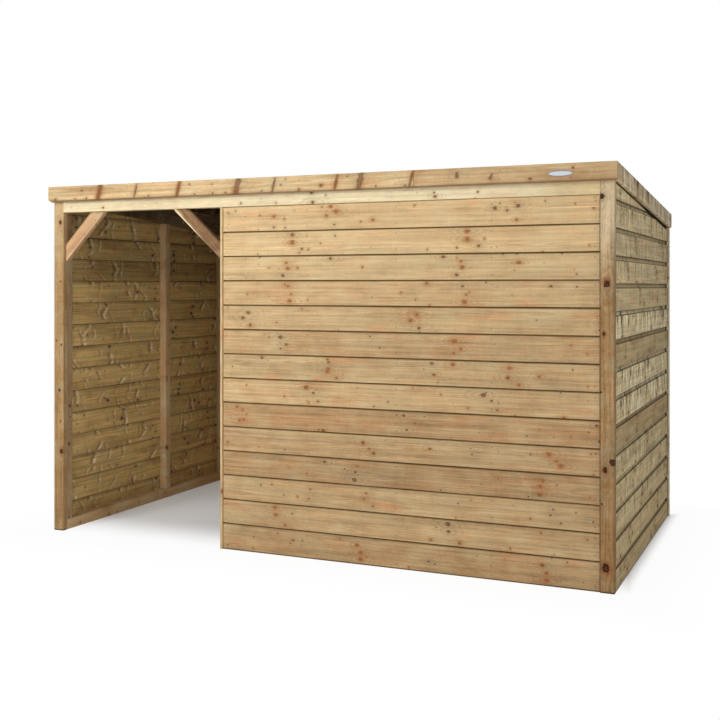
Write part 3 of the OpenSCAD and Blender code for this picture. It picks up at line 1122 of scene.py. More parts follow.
@dataclass
class LappedWall:
    """A wall of rebated boards, each with its tongue behind the next one up."""

    node: str
    facing: Facing
    finish: bpy.types.Material
    slot: str
    seed: int
    looks: Sequence[BoardLook] = ()
    top: Slope | None = None
    ledge: Slope | None = None
    first_cover: float = 0.142
    cover: float = 0.1483
    thickness: float = 0.022
    channel: float = 0.023
    channel_depth: float = 0.009
    shoulder: float = 0.004
    lap: float = 0.020
    bead: float = 0.002
    taper: float = 0.004
    ease: float = 0.0014
    slack: float = 0.0006
    tilt: float = 0.0005
    wave: float = 0.0016
    ragged: float = 0.0006
    tone: float = 0.14
    # Painted shade down the channel under each lap, from just below the lap to the channel's foot.
    channel_shade: Triple = (0.50, 0.25, 0.85)
    # Painted shade at the ends of each board, within end_reach of the end.
    end_shade: float = 0.8
    end_reach: float = 0.004
    # Length of painted shade on the channel's back at the far end, where it meets the corner trim.
    shaded_channel_end: float = 0.0
    ledge_depth: float = 0.012
    ledge_drop: float = 0.004
    whorl_pitch: float = 1.09

    def section(self) -> list[tuple[float, float, float]]:
        """The outline of one board.

        Returns:
            Points of depth behind the face, height above the foot and painted shade, round from the foot.
            The shade is darkest in the channel under each lap and along the lap on the inner side.
        """
        foot = self.channel_depth - self.slack
        crest = self.cover + self.lap - self.slack
        base = self.cover - self.channel
        back = self.thickness
        return [
            (self.ease, 0.0, 0.45),
            (foot, 0.0, 0.9),
            (foot, self.lap, 1.0),
            (back - self.bead, self.lap, 0.85),
            (back, self.lap + self.bead, 0.2),
            (back, self.lap + self.bead * 4, 0.0),
            (back - self.taper * 0.2, crest - 0.024, 0.0),
            (back - self.taper, crest - self.bead * 2, 0.30),
            (back - self.taper - self.bead, crest, 1.0),
            (self.channel_depth, crest, 1.0),
            (self.channel_depth, self.cover, 1.0),
            (self.channel_depth, self.cover - self.channel * 0.28, self.channel_shade[0]),
            (self.channel_depth, base + self.channel * 0.12, self.channel_shade[1]),
            (self.channel_depth, base, self.channel_shade[2]),
            (self.ease * 0.6, base - self.shoulder, self.channel_shade[2] * 0.55),
            (0.0, base - self.shoulder - self.ease * 1.5, 0.0),
            (0.0, self.ease * 2, 0.0),
        ]

    def stations(self, length: float) -> list[float]:
        """The places along a board where its outline is drawn: close at the ends and where the painted shade
        at a channel's end begins.

        Args:
            length: The board's length.

        Returns:
            The distances from its start.
        """
        steps = max(2, round(length / 0.09))
        clear = length - self.shaded_channel_end
        inner = [0.012 + (clear - 0.024) * i / steps for i in range(steps + 1)]
        edge = [clear] if self.shaded_channel_end else []
        return [0.0, 0.003, 0.006, *inner, clear - 0.006, *edge, length - 0.003, length]

    def blank(self, length: float) -> bpy.types.Object:
        """One board, cut square at both ends.

        Args:
            length: The board's length.

        Returns:
            The board along +X from the origin, its face at y = 0, with the attribute grain.
        """
        bm = bmesh.new()
        grain = bm.verts.layers.float_vector.new("grain")
        dirt_and_shade = dirt_and_shade_of(bm)
        loops = []
        for x in self.stations(length):
            # Painted shade within end_reach of each end, and on the channel's back near the corner trim.
            least = self.end_shade if min(x, length - x) < self.end_reach else 0.0
            in_end_shade = self.shaded_channel_end and x > length - self.shaded_channel_end - 1e-6
            loop = []
            for y, z, dirt in self.section():
                vert = bm.verts.new((x, y, z))
                vert[grain] = (x, z, y)
                vert[dirt_and_shade] = 1.0 if in_end_shade and y == self.channel_depth else max(dirt, least)
                loop.append(vert)
            loops.append(loop)
        skin(bm, loops)
        bm.faces.new(loops[0])
        bm.faces.new(list(reversed(loops[-1])))
        bmesh.ops.recalc_face_normals(bm, faces=bm.faces)
        return put(self.node + "_blank", bm, self.finish)

    def fill_channel(self, bm: bmesh.types.BMesh, low: Vector, high: Vector) -> None:
        """Brings the top board's channel out to its face where no board laps over it.

        Args:
            bm: The wall, in place and cut level at the top.
            low: The lowest corner of the space that the wall fills.
            high: The highest corner.
        """
        dirt_and_shade = dirt_and_shade_of(bm)
        for vert in bm.verts:
            if vert.co.z > high.z - 0.015 and vert.co.y < low.y + self.channel_depth + 0.002:
                vert.co.y = low.y
                vert[dirt_and_shade] = 0.0

    def trim(self, bm: bmesh.types.BMesh, low: Vector, high: Vector) -> None:
        """Cuts the boards off along the roof, and steps their faces back below a fascia, with painted shade
        on the stepped-back strip.

        Args:
            bm: The wall, in place.
            low: The lowest corner of the space that the wall fills.
            high: The highest corner.
        """
        if not self.top:
            saw(bm, (0.0, 0.0, high.z), (0.0, 0.0, 1.0))
            self.fill_channel(bm, low, high)
            return
        saw(bm, (0.0, 0.0, self.top.height), (0.0, self.top.fall, 1.0))
        if not self.ledge:
            return
        plane = (0.0, 0.0, self.ledge.height - self.ledge_drop)
        upper = bm.copy()
        saw(upper, plane, (0.0, -self.ledge.fall, -1.0))
        if self.facing is Facing.RIGHT:
            saw(upper, (high.x - self.ledge_depth, 0.0, 0.0), (1.0, 0.0, 0.0))
        else:
            saw(upper, (low.x + self.ledge_depth, 0.0, 0.0), (-1.0, 0.0, 0.0))
        grain = upper.verts.layers.float_vector["grain"]
        dirt_and_shade = dirt_and_shade_of(upper)
        # Painted shade on the stepped-back strip, the gap under the fascia.
        for vert in upper.verts:
            if vert[grain][2] < self.ledge_depth + 0.001:
                vert[dirt_and_shade] = 1.0
        saw(bm, plane, (0.0, self.ledge.fall, 1.0))
        join(bm, upper)

    def whorls(self, look: BoardLook, dice: random.Random) -> tuple[Knot, ...]:
        """The large knots of one board: a few across it wherever a ring of branches grew.

        Args:
            look: The board's look, which says where its first ring lies.
            dice: The source of chance.

        Returns:
            The knots.
        """
        pattern = []
        for i in range(3):
            along = dice.uniform(-0.04, 0.05)
            across = 0.03 + 0.04 * i + dice.uniform(-0.012, 0.012)
            pattern.append((along, across, dice.uniform(0.0040, 0.0090)))
        starts = [look.whorl + self.whorl_pitch * i for i in range(-1, 3)]
        return tuple((start + along, across, size) for start in starts for along, across, size in pattern)

    def mark(self, bm: bmesh.types.BMesh) -> None:
        """Gives each board its listed tone, which on the front panel carries painted light too, and its own
        large knots.

        Args:
            bm: The wall, with the attributes row and board.
        """
        row = bm.verts.layers.float["row"]
        board = bm.verts.layers.float_vector["board"]
        dice = random.Random(self.seed)
        knots = [self.whorls(look, dice) for look in self.looks]
        last = len(self.looks) - 1
        for vert in bm.verts:
            look = self.looks[min(round(vert[row]), last)]
            vert[board] = (look.tone, look.warmth, vert[board][2])
        carry_knots(bm, lambda face: knots[min(round(face.verts[0][row]), last)])

    def nails(self, studs: Sequence[float]) -> list[tuple[Vector, Vector]]:
        """Where nails hold each board to the studs.

        Args:
            studs: The distance of each stud along the wall.

        Returns:
            The places, and the direction in which the boards face.
        """
        low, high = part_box(self.node)
        matrix = self.facing.matrix(low, high)
        out = matrix.to_3x3() @ Vector((0.0, -1.0, 0.0))
        limit = self.ledge or self.top or Slope(high.z, 0.0)
        cover = self.first_cover
        foot = 0.0
        places = []
        while foot < high.z - low.z:
            for stud in studs:
                for rise in (0.028, cover - self.channel - 0.022):
                    spot = matrix @ Vector((stud, 0.0, foot + rise))
                    if spot.z < limit.at(spot.y) - 0.02:
                        places.append((spot, out))
            foot += cover
            cover = self.cover
        return places

    def build(self, tree: bpy.types.NodeTree) -> bpy.types.Object:
        """Makes the wall.

        Args:
            tree: The tree that stacks the boards.

        Returns:
            The wall, tied to the frame.
        """
        low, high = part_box(self.node)
        length = (high - low)[1 if self.facing.sideways else 0]
        inputs = {
            "Boards": 1 + math.ceil((high.z - low.z - self.first_cover) / self.cover),
            "Cover": self.cover,
            "First Cover": self.first_cover,
            "Tilt": self.tilt,
            "Wave": self.wave,
            "Ragged": self.ragged,
            "Tone": self.tone,
            "Seed": self.seed,
            "Finish": self.finish,
        }
        mesh = grown(self.blank(length), tree, inputs)
        mesh.transform(self.facing.matrix(low, high))
        bm = bmesh.new()
        bm.from_mesh(mesh)
        bpy.data.meshes.remove(mesh)
        self.trim(bm, low, high)
        for vert in bm.verts:
            vert.co.z = max(vert.co.z, low.z)
        darken_foot(bm)
        if self.looks:
            self.mark(bm)
        return mount(put(self.node + "_boards", bm, self.finish), self.slot, self.node)


# ---------------------------------------------------------------- timbers


@dataclass
class Timber:
    """Planed or sawn timbers that keep their CAD shape, with eased edges and their own grain."""

    node: str
    run: Run
    finish: bpy.types.Material
    slot: str
    seed: int
    ease: float = 0.0025
    tone: float = 0.0
    warmth: float = 0.0
    spread: float = 0.05
    fall: float = 0.0
    knots: tuple[Knot, ...] = ()
    part: float = 0.08
    joint: float = 0.0
    seam: float = 0.0012
    looks: tuple[tuple[float, float], ...] = ()
    planed_off: float = 0.0
    strips: tuple[Triple, ...] = ()

    def shaped(self, low: Vector) -> bmesh.types.BMesh:
        """The CAD shape with its face planed, its joint sawn and its edges eased.

        Args:
            low: The lowest corner of the space that it fills.

        Returns:
            The timber, in place.
        """
        bm = solid_copy(self.node)
        if self.planed_off:
            for vert in bm.verts:
                if vert.co.y < low.y + NEAR:
                    vert.co.y += self.planed_off
        if self.joint:
            far = bm.copy()
            place = low.x + self.joint
            saw(bm, (place - self.seam / 2, 0.0, 0.0), (1.0, 0.0, 0.0))
            saw(far, (place + self.seam / 2, 0.0, 0.0), (-1.0, 0.0, 0.0))
            join(bm, far)
        sharp = [e for e in bm.edges if len(e.link_faces) == 2 and e.calc_face_angle(0.0) > 0.5]
        form = {"segments": 2, "profile": 0.6, "affect": "EDGES", "clamp_overlap": True}
        bmesh.ops.bevel(bm, geom=sharp, offset=self.ease, **form)
        return bm

    def darken_strips(self, bm: bmesh.types.BMesh, grain: bmesh.types.BMLayerItem, fade: float = 0.003) -> None:
        """Darkens strips that run along the grain, such as painted shade in the gap beside the right post
        and a brown line at the fascia's foot.

        Args:
            bm: The timber, in place.
            grain: Its layer of distances along, across and through it.
            fade: The width over which a strip fades out.
        """
        way = Vector(self.run.value[1])
        start = min(v.co.dot(way) - v[grain][1] for v in bm.verts)
        dirt_and_shade = dirt_and_shade_of(bm)
        for low, high, _ in self.strips:
            for place in (low - fade, low, high, high + fade):
                score(bm, way * (start + place), way)
        for low, high, amount in self.strips:
            for vert in bm.verts:
                if low - NEAR < vert[grain][1] < high + NEAR:
                    vert[dirt_and_shade] = max(vert[dirt_and_shade], amount)

    def divide(self, bm: bmesh.types.BMesh, grain: bmesh.types.BMLayerItem) -> None:
        """Divides the faces along the grain, so that each part carries the knots nearest to it.

        Args:
            bm: The timber, in place.
            grain: Its layer of distances along, across and through it.
        """
        axis = Vector(self.run.value[0])
        start = min(v.co.dot(axis) - v[grain][0] for v in bm.verts)
        length = max(v[grain][0] for v in bm.verts)
        for i in range(1, round(length / self.part)):
            score(bm, axis * (start + self.part * i), axis)

    def build(self) -> bpy.types.Object:
        """Makes the piece.

        Returns:
            The piece, tied to the frame.
        """
        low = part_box(self.node)[0]
        bm = self.shaped(low)
        grain = bm.verts.layers.float_vector.new("grain")
        board = bm.verts.layers.float_vector.new("board")
        dice = random.Random(self.seed)
        for index, group in enumerate(islands(bm)):
            spots = [self.run.grain(v.co, self.fall) for v in group]
            corner = Vector(min(s[i] for s in spots) for i in range(3))
            if self.joint:
                corner.x = low.x
            plain = self.looks[index] if index < len(self.looks) else (self.tone, self.warmth)
            look = [value + dice.uniform(-self.spread, self.spread) for value in plain]
            look.append(dice.random())
            for vert, spot in zip(group, spots, strict=True):
                vert[grain] = spot - corner
                vert[board] = look
        if self.strips:
            self.darken_strips(bm, grain)
        if self.slot == "posts":
            darken_foot(bm)
        if self.knots:
            self.divide(bm, grain)
        carry_knots(bm, lambda face: self.knots)
        return mount(put(self.node + "_timber", bm, self.finish), self.slot, self.node)


# ---------------------------------------------------------------- fixings


def heads_tree() -> bpy.types.NodeTree:
    """Makes the tree that sets a head on each point, turned to the point's own direction.

    Returns:
        The tree. Its points carry the attribute out.
    """
    graph = Growth("fixing_heads", {"Head": "Object", "Seed": "Int", "Finish": "Material"})
    spots, shape, seed = graph.take("Geometry", "Head", "Seed")
    head = graph.node("GeometryNodeObjectInfo", {}, {"Object": shape}).other("Geometry")
    out = graph.carried("out", "FLOAT_VECTOR")
    aim = graph.node("FunctionNodeAlignRotationToVector", {"axis": "Z"}, {"Vector": out})
    tips = graph.chance(-0.06, 0.06, seed), graph.chance(-0.06, 0.06, seed + 1.0)
    spin = graph.join(*tips, graph.chance(0.0, 6.28, seed + 2.0))
    turned = {"Rotation": aim, "Rotate By": spin}
    turn = graph.node("FunctionNodeRotateRotation", {"rotation_space": "LOCAL"}, turned)
    points = graph.node("GeometryNodeMeshToPoints", {}, {"Mesh": spots})
    worn = graph.chance(0.0, 1.0, seed + 3.0)
    return graph.close(graph.keep(graph.copies(points, head, turn), "wear", worn, "INSTANCE", "FLOAT"))


@dataclass(frozen=True)
class Head:
    """The head of a nail or screw, turned from a profile of radius and height, with a sunk cross or none."""

    name: str
    profile: tuple[tuple[float, float], ...]
    sides: int = 10
    cross: float = 0.0

    def sink(self, bm: bmesh.types.BMesh, crown: bmesh.types.BMFace) -> None:
        """Sinks the cross into the head's top.

        Args:
            bm: The head.
            crown: Its top face.
        """
        bmesh.ops.inset_region(bm, faces=[crown], thickness=self.profile[-1][0] * 0.45)
        for i, vert in enumerate(crown.verts):
            if i % 3 == 0:
                vert.co.x *= 0.45
                vert.co.y *= 0.45
        sunk = bmesh.ops.extrude_face_region(bm, geom=[crown])
        for item in sunk["geom"]:
            if isinstance(item, bmesh.types.BMVert):
                item.co.z -= self.cross
        bmesh.ops.delete(bm, geom=[crown], context="FACES_ONLY")

    def build(self, finish: bpy.types.Material) -> bpy.types.Object:
        """Makes the head about the Z axis, to be copied by the tree.

        Args:
            finish: Its finish.

        Returns:
            The head.
        """
        bm = bmesh.new()
        rings = []
        turns = [math.tau * i / self.sides for i in range(self.sides)]
        for reach, height in self.profile:
            rings.append([bm.verts.new((reach * math.cos(t), reach * math.sin(t), height)) for t in turns])
        skin(bm, rings)
        bm.faces.new(list(reversed(rings[0])))
        crown = bm.faces.new(rings[-1])
        if self.cross:
            self.sink(bm, crown)
        bmesh.ops.recalc_face_normals(bm, faces=bm.faces)
        return put(self.name, bm, finish)


@dataclass
class Fixings:
    """Rows of nail or screw heads in one finish."""

    name: str
    head: Head
    finish: bpy.types.Material
    seed: int
    places: list[tuple[Vector, Vector]] = field(default_factory=list)

    def add(self, spot: Sequence[float], out: Sequence[float]) -> None:
        """Adds a head at a spot on a surface that faces out."""
        self.places.append((Vector(spot), Vector(out)))

    def build(self, tree: bpy.types.NodeTree) -> bpy.types.Object:
        """Makes all heads as one piece.

        Args:
            tree: The tree that sets the heads.

        Returns:
            The piece, tied to the frame.
        """
        bm = bmesh.new()
        out = bm.verts.layers.float_vector.new("out")
        for spot, way in self.places:
            bm.verts.new(spot)[out] = way
        base = put(self.name + "_places", bm, self.finish)
        head = self.head.build(self.finish)
        mesh = grown(base, tree, {"Head": head, "Seed": self.seed, "Finish": self.finish})
        bpy.data.objects.remove(head)
        mesh.name = self.name
        return mount(show(self.name, mesh), "fixings")


# ---------------------------------------------------------------- roof and plate


@dataclass
class FeltRoof:
    """Strips of felt laid across the roof from the rear up, each lapped over the one behind it."""

    finish: bpy.types.Material
    node: str = "roof_felt"
    width: float = 1.0
    lap: float = 0.075
    thickness: float = 0.0022
    sag: float = 0.0008
    fade: float = 0.16
    columns: int = 60
    rows: int = 34

    def laps(self) -> list[float]:
        """The lower edges of the strips above the rearmost one.

        Returns:
            The y of each.
        """
        low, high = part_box(self.node)
        step = self.width - self.lap
        count = math.floor((high.y - low.y) / step)
        return [high.y - step * (i + 1) for i in range(count)]

    def rise(self, x: float, y: float, laps: Sequence[float]) -> float:
        """How far the felt lies above its flat shape, by its creases and its laps over other strips.

        Args:
            x: The place across the roof.
            y: The place along its fall.
            laps: The lower edges of the strips.

        Returns:
            The height.
        """
        crease = math.sin(x * 9.1 + y * 3.0) * math.sin(x * 2.3 - y * 7.1) * self.sag
        over = min((abs(y - lap) for lap in laps if y <= lap), default=self.fade)
        return crease + self.thickness * max(0.0, 1.0 - over / self.fade)

    def build(self, under: Slope) -> bpy.types.Object:
        """Makes the felt.

        Args:
            under: The plane that the felt lies on.

        Returns:
            The felt, tied to the frame.
        """
        low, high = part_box(self.node)
        full = high.z - under.at(low.y)
        laps = self.laps()
        xs = [low.x + (high.x - low.x) * i / self.columns for i in range(self.columns + 1)]
        ys = [low.y + (high.y - low.y) * i / self.rows for i in range(self.rows + 1)]
        ys += [lap + step for lap in laps for step in (-0.0015, 0.0015)]
        ys = sorted({round(y, 5) for y in ys})
        bm = bmesh.new()
        bottom = [[bm.verts.new((x, y, under.at(y))) for x in xs] for y in ys]
        top = [[bm.verts.new((x, y, under.at(y) + full + self.rise(x, y, laps))) for x in xs] for y in ys]
        for j in range(len(ys) - 1):
            for i in range(len(xs) - 1):
                bm.faces.new((bottom[j + 1][i], bottom[j + 1][i + 1], bottom[j][i + 1], bottom[j][i]))
                bm.faces.new((top[j][i], top[j][i + 1], top[j + 1][i + 1], top[j + 1][i]))
        for i in range(len(xs) - 1):
            bm.faces.new((bottom[0][i], bottom[0][i + 1], top[0][i + 1], top[0][i]))
            bm.faces.new((bottom[-1][i + 1], bottom[-1][i], top[-1][i], top[-1][i + 1]))
        for j in range(len(ys) - 1):
            bm.faces.new((bottom[j + 1][0], bottom[j][0], top[j][0], top[j + 1][0]))
            bm.faces.new((bottom[j][-1], bottom[j + 1][-1], top[j + 1][-1], top[j][-1]))
        return mount(put("roof_felt_strips", bm, self.finish), "roof_felt", self.node)


@dataclass
class OvalPlate:
    """A bare oval plate with a raised rim, pinned to the front fascia near its right end.

    Its profile holds the distance in from the edge and back from the front of each ring. The rim is painted
    dark, as the shadow of the fine gap round the plate.
    """

    finish: bpy.types.Material
    width: float = 0.134
    height: float = 0.033
    from_end: float = 0.298
    below_middle: float = 0.005
    sides: int = 56
    # Width of the dark rim, painted shadow of the gap round the plate.
    rim: float = 0.003
    profile: tuple[tuple[float, float], ...] = (
        (0.0, 0.0014),
        (0.0, 0.0003),
        (0.0006, 0.0),
        (0.0020, 0.0),
        (0.0026, 0.0006),
        (0.006, 0.0006),
    )

    def build(self) -> bpy.types.Object:
        """Makes the plate on the fascia's front face.

        Returns:
            The plate, tied to the frame.
        """
        low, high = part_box("front_fascia")
        middle = Vector((high.x - self.from_end, low.y, (low.z + high.z) / 2 - self.below_middle))
        bm = bmesh.new()
        shade = bm.verts.layers.float.new("rim")
        rings = []
        for inset, back in self.profile:
            ring = []
            for i in range(self.sides):
                turn = math.tau * i / self.sides
                x = (self.width / 2 - inset) * math.cos(turn)
                z = (self.height / 2 - inset) * math.sin(turn)
                vert = bm.verts.new((middle.x + x, middle.y + back, middle.z + z))
                # Painted shadow along the rim.
                vert[shade] = 1.0 if inset < self.rim else 0.0
                ring.append(vert)
            rings.append(ring)
        skin(bm, rings)
        bm.faces.new(rings[0])
        bm.faces.new(rings[-1])
        bmesh.ops.recalc_face_normals(bm, faces=bm.faces)
        return mount(put("oval_plate", bm, self.finish), "plate")


# ---------------------------------------------------------------- stage


@dataclass(frozen=True)
class Lamp:
    """A large soft lamp: its place, the point that it faces, its power, its side and its beam."""

    name: str
    spot: Triple
    aim: Triple
    watts: float
    size: float
    degrees: float = 180.0

    def build(self) -> None:
        """Adds the lamp to the scene."""
        data = bpy.data.lights.new(self.name, "AREA")
        data.energy = self.watts
        data.size = self.size
        data.spread = math.radians(self.degrees)
        made = show(self.name, data)
        made.location = self.spot
        made.rotation_euler = (Vector(self.aim) - Vector(self.spot)).to_track_quat("-Z", "Y").to_euler()


LAMPS = (
    Lamp("front", (1.7, -5.6, 1.7), (-1.3, 0.0, 1.2), 61.0, 1.4),
    Lamp("key", (-2.6, -4.8, 3.2), (0.0, -1.0, 1.5), 90.0, 1.8),
    Lamp("side", (6.6, -2.6, 3.0), (1.8, 0.0, 1.2), 96.0, 2.0),
    Lamp("doorway", (2.2, -4.5, 1.7), (-1.75, -0.4, 0.9), 1.3, 0.8, 28.0),
    Lamp("top", (-1.2, -4.6, 4.2), (0.0, -1.0, 1.2), 72.0, 3.0),
    Lamp("left", (-6.4, 1.2, 3.0), (-1.8, 0.0, 1.2), 90.0, 2.0),
    Lamp("rear", (1.5, 6.2, 3.4), (0.0, 1.0, 1.2), 100.0, 2.4),
    Lamp("above", (0.3, 0.6, 6.5), (0.3, 0.3, 2.0), 60.0, 2.5),
)


@dataclass(frozen=True)
class Studio:
    """The plain pale floor, the surround, the lamps and the camera."""

    eye: Triple = (2.8302, -6.6288, 1.6151)
    turn: float = 23.6714
    lens: float = 52.90
    shift_y: float = -0.1037
    sky: float = 0.05
    reach: float = 30.0
    white: Colour = (1.0, 1.0, 1.0)

    @staticmethod
    def seen(graph: Graph) -> Sock:
        """Is 1 for what the camera sees, straight or by way of a mirror or glass."""
        rays = graph.node("ShaderNodeLightPath")
        return rays.over(rays.other("Is Glossy Ray")).over(rays.other("Is Transmission Ray"))

    @staticmethod
    def blend(graph: Graph, share: Sock, plain: Sock, bright: Sock, output: str) -> None:
        """Ends a tree with a mix of two shaders, by the share of the bright one."""
        both = graph.node("ShaderNodeMixShader", {}, {0: share, 1: plain, 2: bright})
        graph.node(output, {}, {"Surface": both})

    def floor(self) -> None:
        """Makes a wide pale floor that keeps the shadow near the shelter, shows white farther out, and
        paints light inside the doorway.
        """
        graph = Surface("studio_floor")
        low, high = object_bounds()
        seen = self.seen(graph)
        tint = graph.mix(seen, (0.85, 0.85, 0.85), (0.97, 0.97, 0.97))
        x, y, _ = graph.split(graph.place())
        aside = (x - (low[0] + high[0]) / 2).math("ABSOLUTE") - (high[0] - low[0]) / 2
        ahead = low[1] - y
        away = aside.over(ahead).over(y - high[1])
        # Painted light: the floor also shows white up to 0.62 m behind the shelter's front, over its shadow
        # there.
        clear = away.ease(-0.05, 0.06).over(ahead.ease(-0.62, 0.0))
        share = clear * 0.82 + away.ease(0.0, 0.6) * 0.05 + 0.13
        matt = graph.node("ShaderNodeBsdfDiffuse", {}, {"Color": tint})
        white = graph.node("ShaderNodeEmission", {}, {"Color": self.white, "Strength": 1.0})
        self.blend(graph, seen * share, matt, white, "ShaderNodeOutputMaterial")
        bm = bmesh.new()
        corners = ((-1, -1), (1, -1), (1, 1), (-1, 1))
        bm.faces.new([bm.verts.new((self.reach * i, self.reach * j, -0.0005)) for i, j in corners])
        put("studio_floor", bm, graph.material)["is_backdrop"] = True

    def world(self) -> None:
        """Makes an even pale surround that shows white behind the object."""
        world = bpy.data.worlds.new("studio")
        bpy.context.scene.world = world
        world.use_nodes = True
        graph = Graph(world.node_tree)
        glow = [
            graph.node("ShaderNodeBackground", {}, {"Color": self.white, "Strength": strength})
            for strength in (self.sky, 1.0)
        ]
        self.blend(graph, self.seen(graph), *glow, "ShaderNodeOutputWorld")

    def camera(self) -> None:
        """Sets the camera level, a little right of the corner, at the height of a person's eyes."""
        data = bpy.data.cameras.new("camera")
        data.lens = self.lens
        data.sensor_width = 36.0
        data.shift_y = self.shift_y
        made = show("camera", data)
        made.location = self.eye
        made.rotation_euler = (math.radians(90.0), 0.0, math.radians(self.turn))
        bpy.context.scene.camera = made

    def build(self) -> None:
        """Makes the whole stage."""
        self.floor()
        self.world()
        for lamp in LAMPS:
            lamp.build()
        self.camera()
        bpy.context.scene.view_settings.view_transform = "Standard"


# ---------------------------------------------------------------- the shelter


class Wood(Enum):
    """The kinds of timber in the shelter, by the finish of each."""

    BOARDS = TimberFinish(
        "planed_boards",
        early=(0.62, 0.445, 0.235),
        late=(0.41, 0.255, 0.115),
        halo=(0.43, 0.18, 0.068),
        knot=(0.055, 0.024, 0.012),
        dirt_and_shade=(0.062, 0.033, 0.005),
        core=0.82, live=0.62, speckle=0.15, waves=0.55, streak=0.46, cloud=0.34, hearts=0.28,
        films=0.22, knot_share=0.24, knot_radius=0.0075, pin_radius=0.0042, saw_marks=0.14,
    )
    WALLS = TimberFinish(
        "sawn_boards",
        early=(0.78, 0.595, 0.315),
        late=(0.54, 0.38, 0.17),
        heart=(0.42, 0.28, 0.14),
        dirt_and_shade=(0.045, 0.026, 0.010),
        inner=(0.94, 0.82, 0.60),
        speckle=0.25, resins=0.15, films=0.6, ghosts=0.85, streak=0.55, cloud=0.55, hearts=0.6,
        drips=1.75, bleach=0.9, pin_share=0.35, saw_marks=0.30, roughness=0.82, relief=0.0012,
    )
    POSTS = TimberFinish(
        "post_timber",
        early=(0.41, 0.245, 0.10),
        late=(0.28, 0.145, 0.055),
        halo=(0.30, 0.105, 0.035),
        # The tops of the posts are painted paler: partly the timber's own tone, partly painted light from
        # above.
        pale=(0.60, 0.43, 0.235),
        core=1.0, streak=0.6, end_tone_and_light_from=1.85, speckle=0.5, knot_share=0.1, pin_share=0.2, saw_marks=0.3,
    )
    PALE_POST = replace(
        POSTS,
        name="pale_post_timber",
        early=(0.38, 0.22, 0.090),
        late=(0.25, 0.13, 0.05),
        halo=(0.26, 0.085, 0.028),
        # The tops of the posts are painted paler: partly the timber's own tone, partly painted light from
        # above.
        pale=(0.68, 0.53, 0.33),
        knot=(0.022, 0.009, 0.005),
        live=0.0, streak=0.65, end_tone_and_light_from=1.78, speckle=0.6,
    )
    BEAM = TimberFinish(
        "beam_timber",
        early=(0.86, 0.73, 0.47),
        late=(0.72, 0.55, 0.31),
        heart=(0.70, 0.53, 0.30),
        knot=(0.14, 0.06, 0.03),
        # The beam is painted darker towards its right end: partly painted shade where the light falls off,
        # partly its own tone.
        pale=(0.66, 0.51, 0.27),
        resins=0.2, speckle=0.12, end_tone_and_light_from=3.25, knot_share=0.2,
    )
    BRACE = TimberFinish(
        "brace_timber",
        early=(0.60, 0.37, 0.20),
        late=(0.42, 0.23, 0.11),
        knot_share=0.05, pin_share=0.2, streak=0.75,
    )
    HEARTWOOD = TimberFinish(
        "brown_brace_timber",
        early=(0.26, 0.13, 0.058),
        late=(0.13, 0.062, 0.026),
        heart=(0.16, 0.08, 0.035),
        streak=0.85, sap_edge=0.016, knot_share=0.05, pin_share=0.1,
    )
    FRAMING = TimberFinish(
        "framing_timber",
        early=(0.56, 0.37, 0.19),
        late=(0.40, 0.24, 0.115),
        films=0.5, roughness=0.78, saw_marks=0.2,
    )
    FASCIA = TimberFinish(
        "fascia_timber",
        early=(0.70, 0.49, 0.26),
        late=(0.46, 0.285, 0.13),
        halo=(0.32, 0.135, 0.05),
        knot=(0.085, 0.034, 0.014),
        dirt_and_shade=(0.16, 0.075, 0.03),
        core=0.70, live=0.30, hearts=0.6, speckle=0.25, swirls=0.12, streak=0.58,
        knot_share=0.15, knot_radius=0.0055, pin_radius=0.0036, saw_marks=0.14,
    )
    WEATHERED = TimberFinish(
        "weathered_timber",
        early=(0.62, 0.445, 0.28),
        late=(0.38, 0.25, 0.145),
        films=0.4, drips=2.8, drip_scale=0.42, bleach=0.8, sap_edge=0.012, speckle=0.3, streak=0.6,
        roughness=0.85, saw_marks=0.4,
    )
    # The trims are painted nearly white: partly pale wood, partly a painted highlight on their narrow front
    # faces, which the lamps barely reach.
    TRIM = TimberFinish("trim_timber", early=(0.97, 0.86, 0.58), late=(0.88, 0.72, 0.42), knot_share=0.1)
    # The rafters are painted nearly black, darker than sawn timber: painted shade under the roof.
    RAFTER = TimberFinish(
        "rafter_timber",
        early=(0.085, 0.052, 0.030),
        late=(0.05, 0.030, 0.017),
        films=0.5, roughness=0.8, saw_marks=0.3,
    )


@dataclass
class Palette:
    """Every finish of the shelter, made once."""

    woods: dict[Wood, bpy.types.Material]
    sheets: bpy.types.Material
    felt: bpy.types.Material
    steel: bpy.types.Material
    zinc: bpy.types.Material
    plate: bpy.types.Material

    @classmethod
    def mixed(cls) -> "Palette":
        """Makes the finishes.

        Returns:
            The palette.
        """
        return cls(
            woods={wood: wood.value.build() for wood in Wood},
            sheets=StrandBoardFinish().build(),
            felt=FeltFinish().build(),
            steel=SteelFinish("dark_steel", (0.10, 0.085, 0.07)).build(),
            zinc=SteelFinish("dull_zinc", (0.45, 0.45, 0.44)).build(),
            plate=PlateFinish().build(),
        )


def board_looks(*rows: Triple) -> tuple[BoardLook, ...]:
    """The looks of a wall's boards, from the lowest up."""
    return tuple(BoardLook(*row) for row in rows)


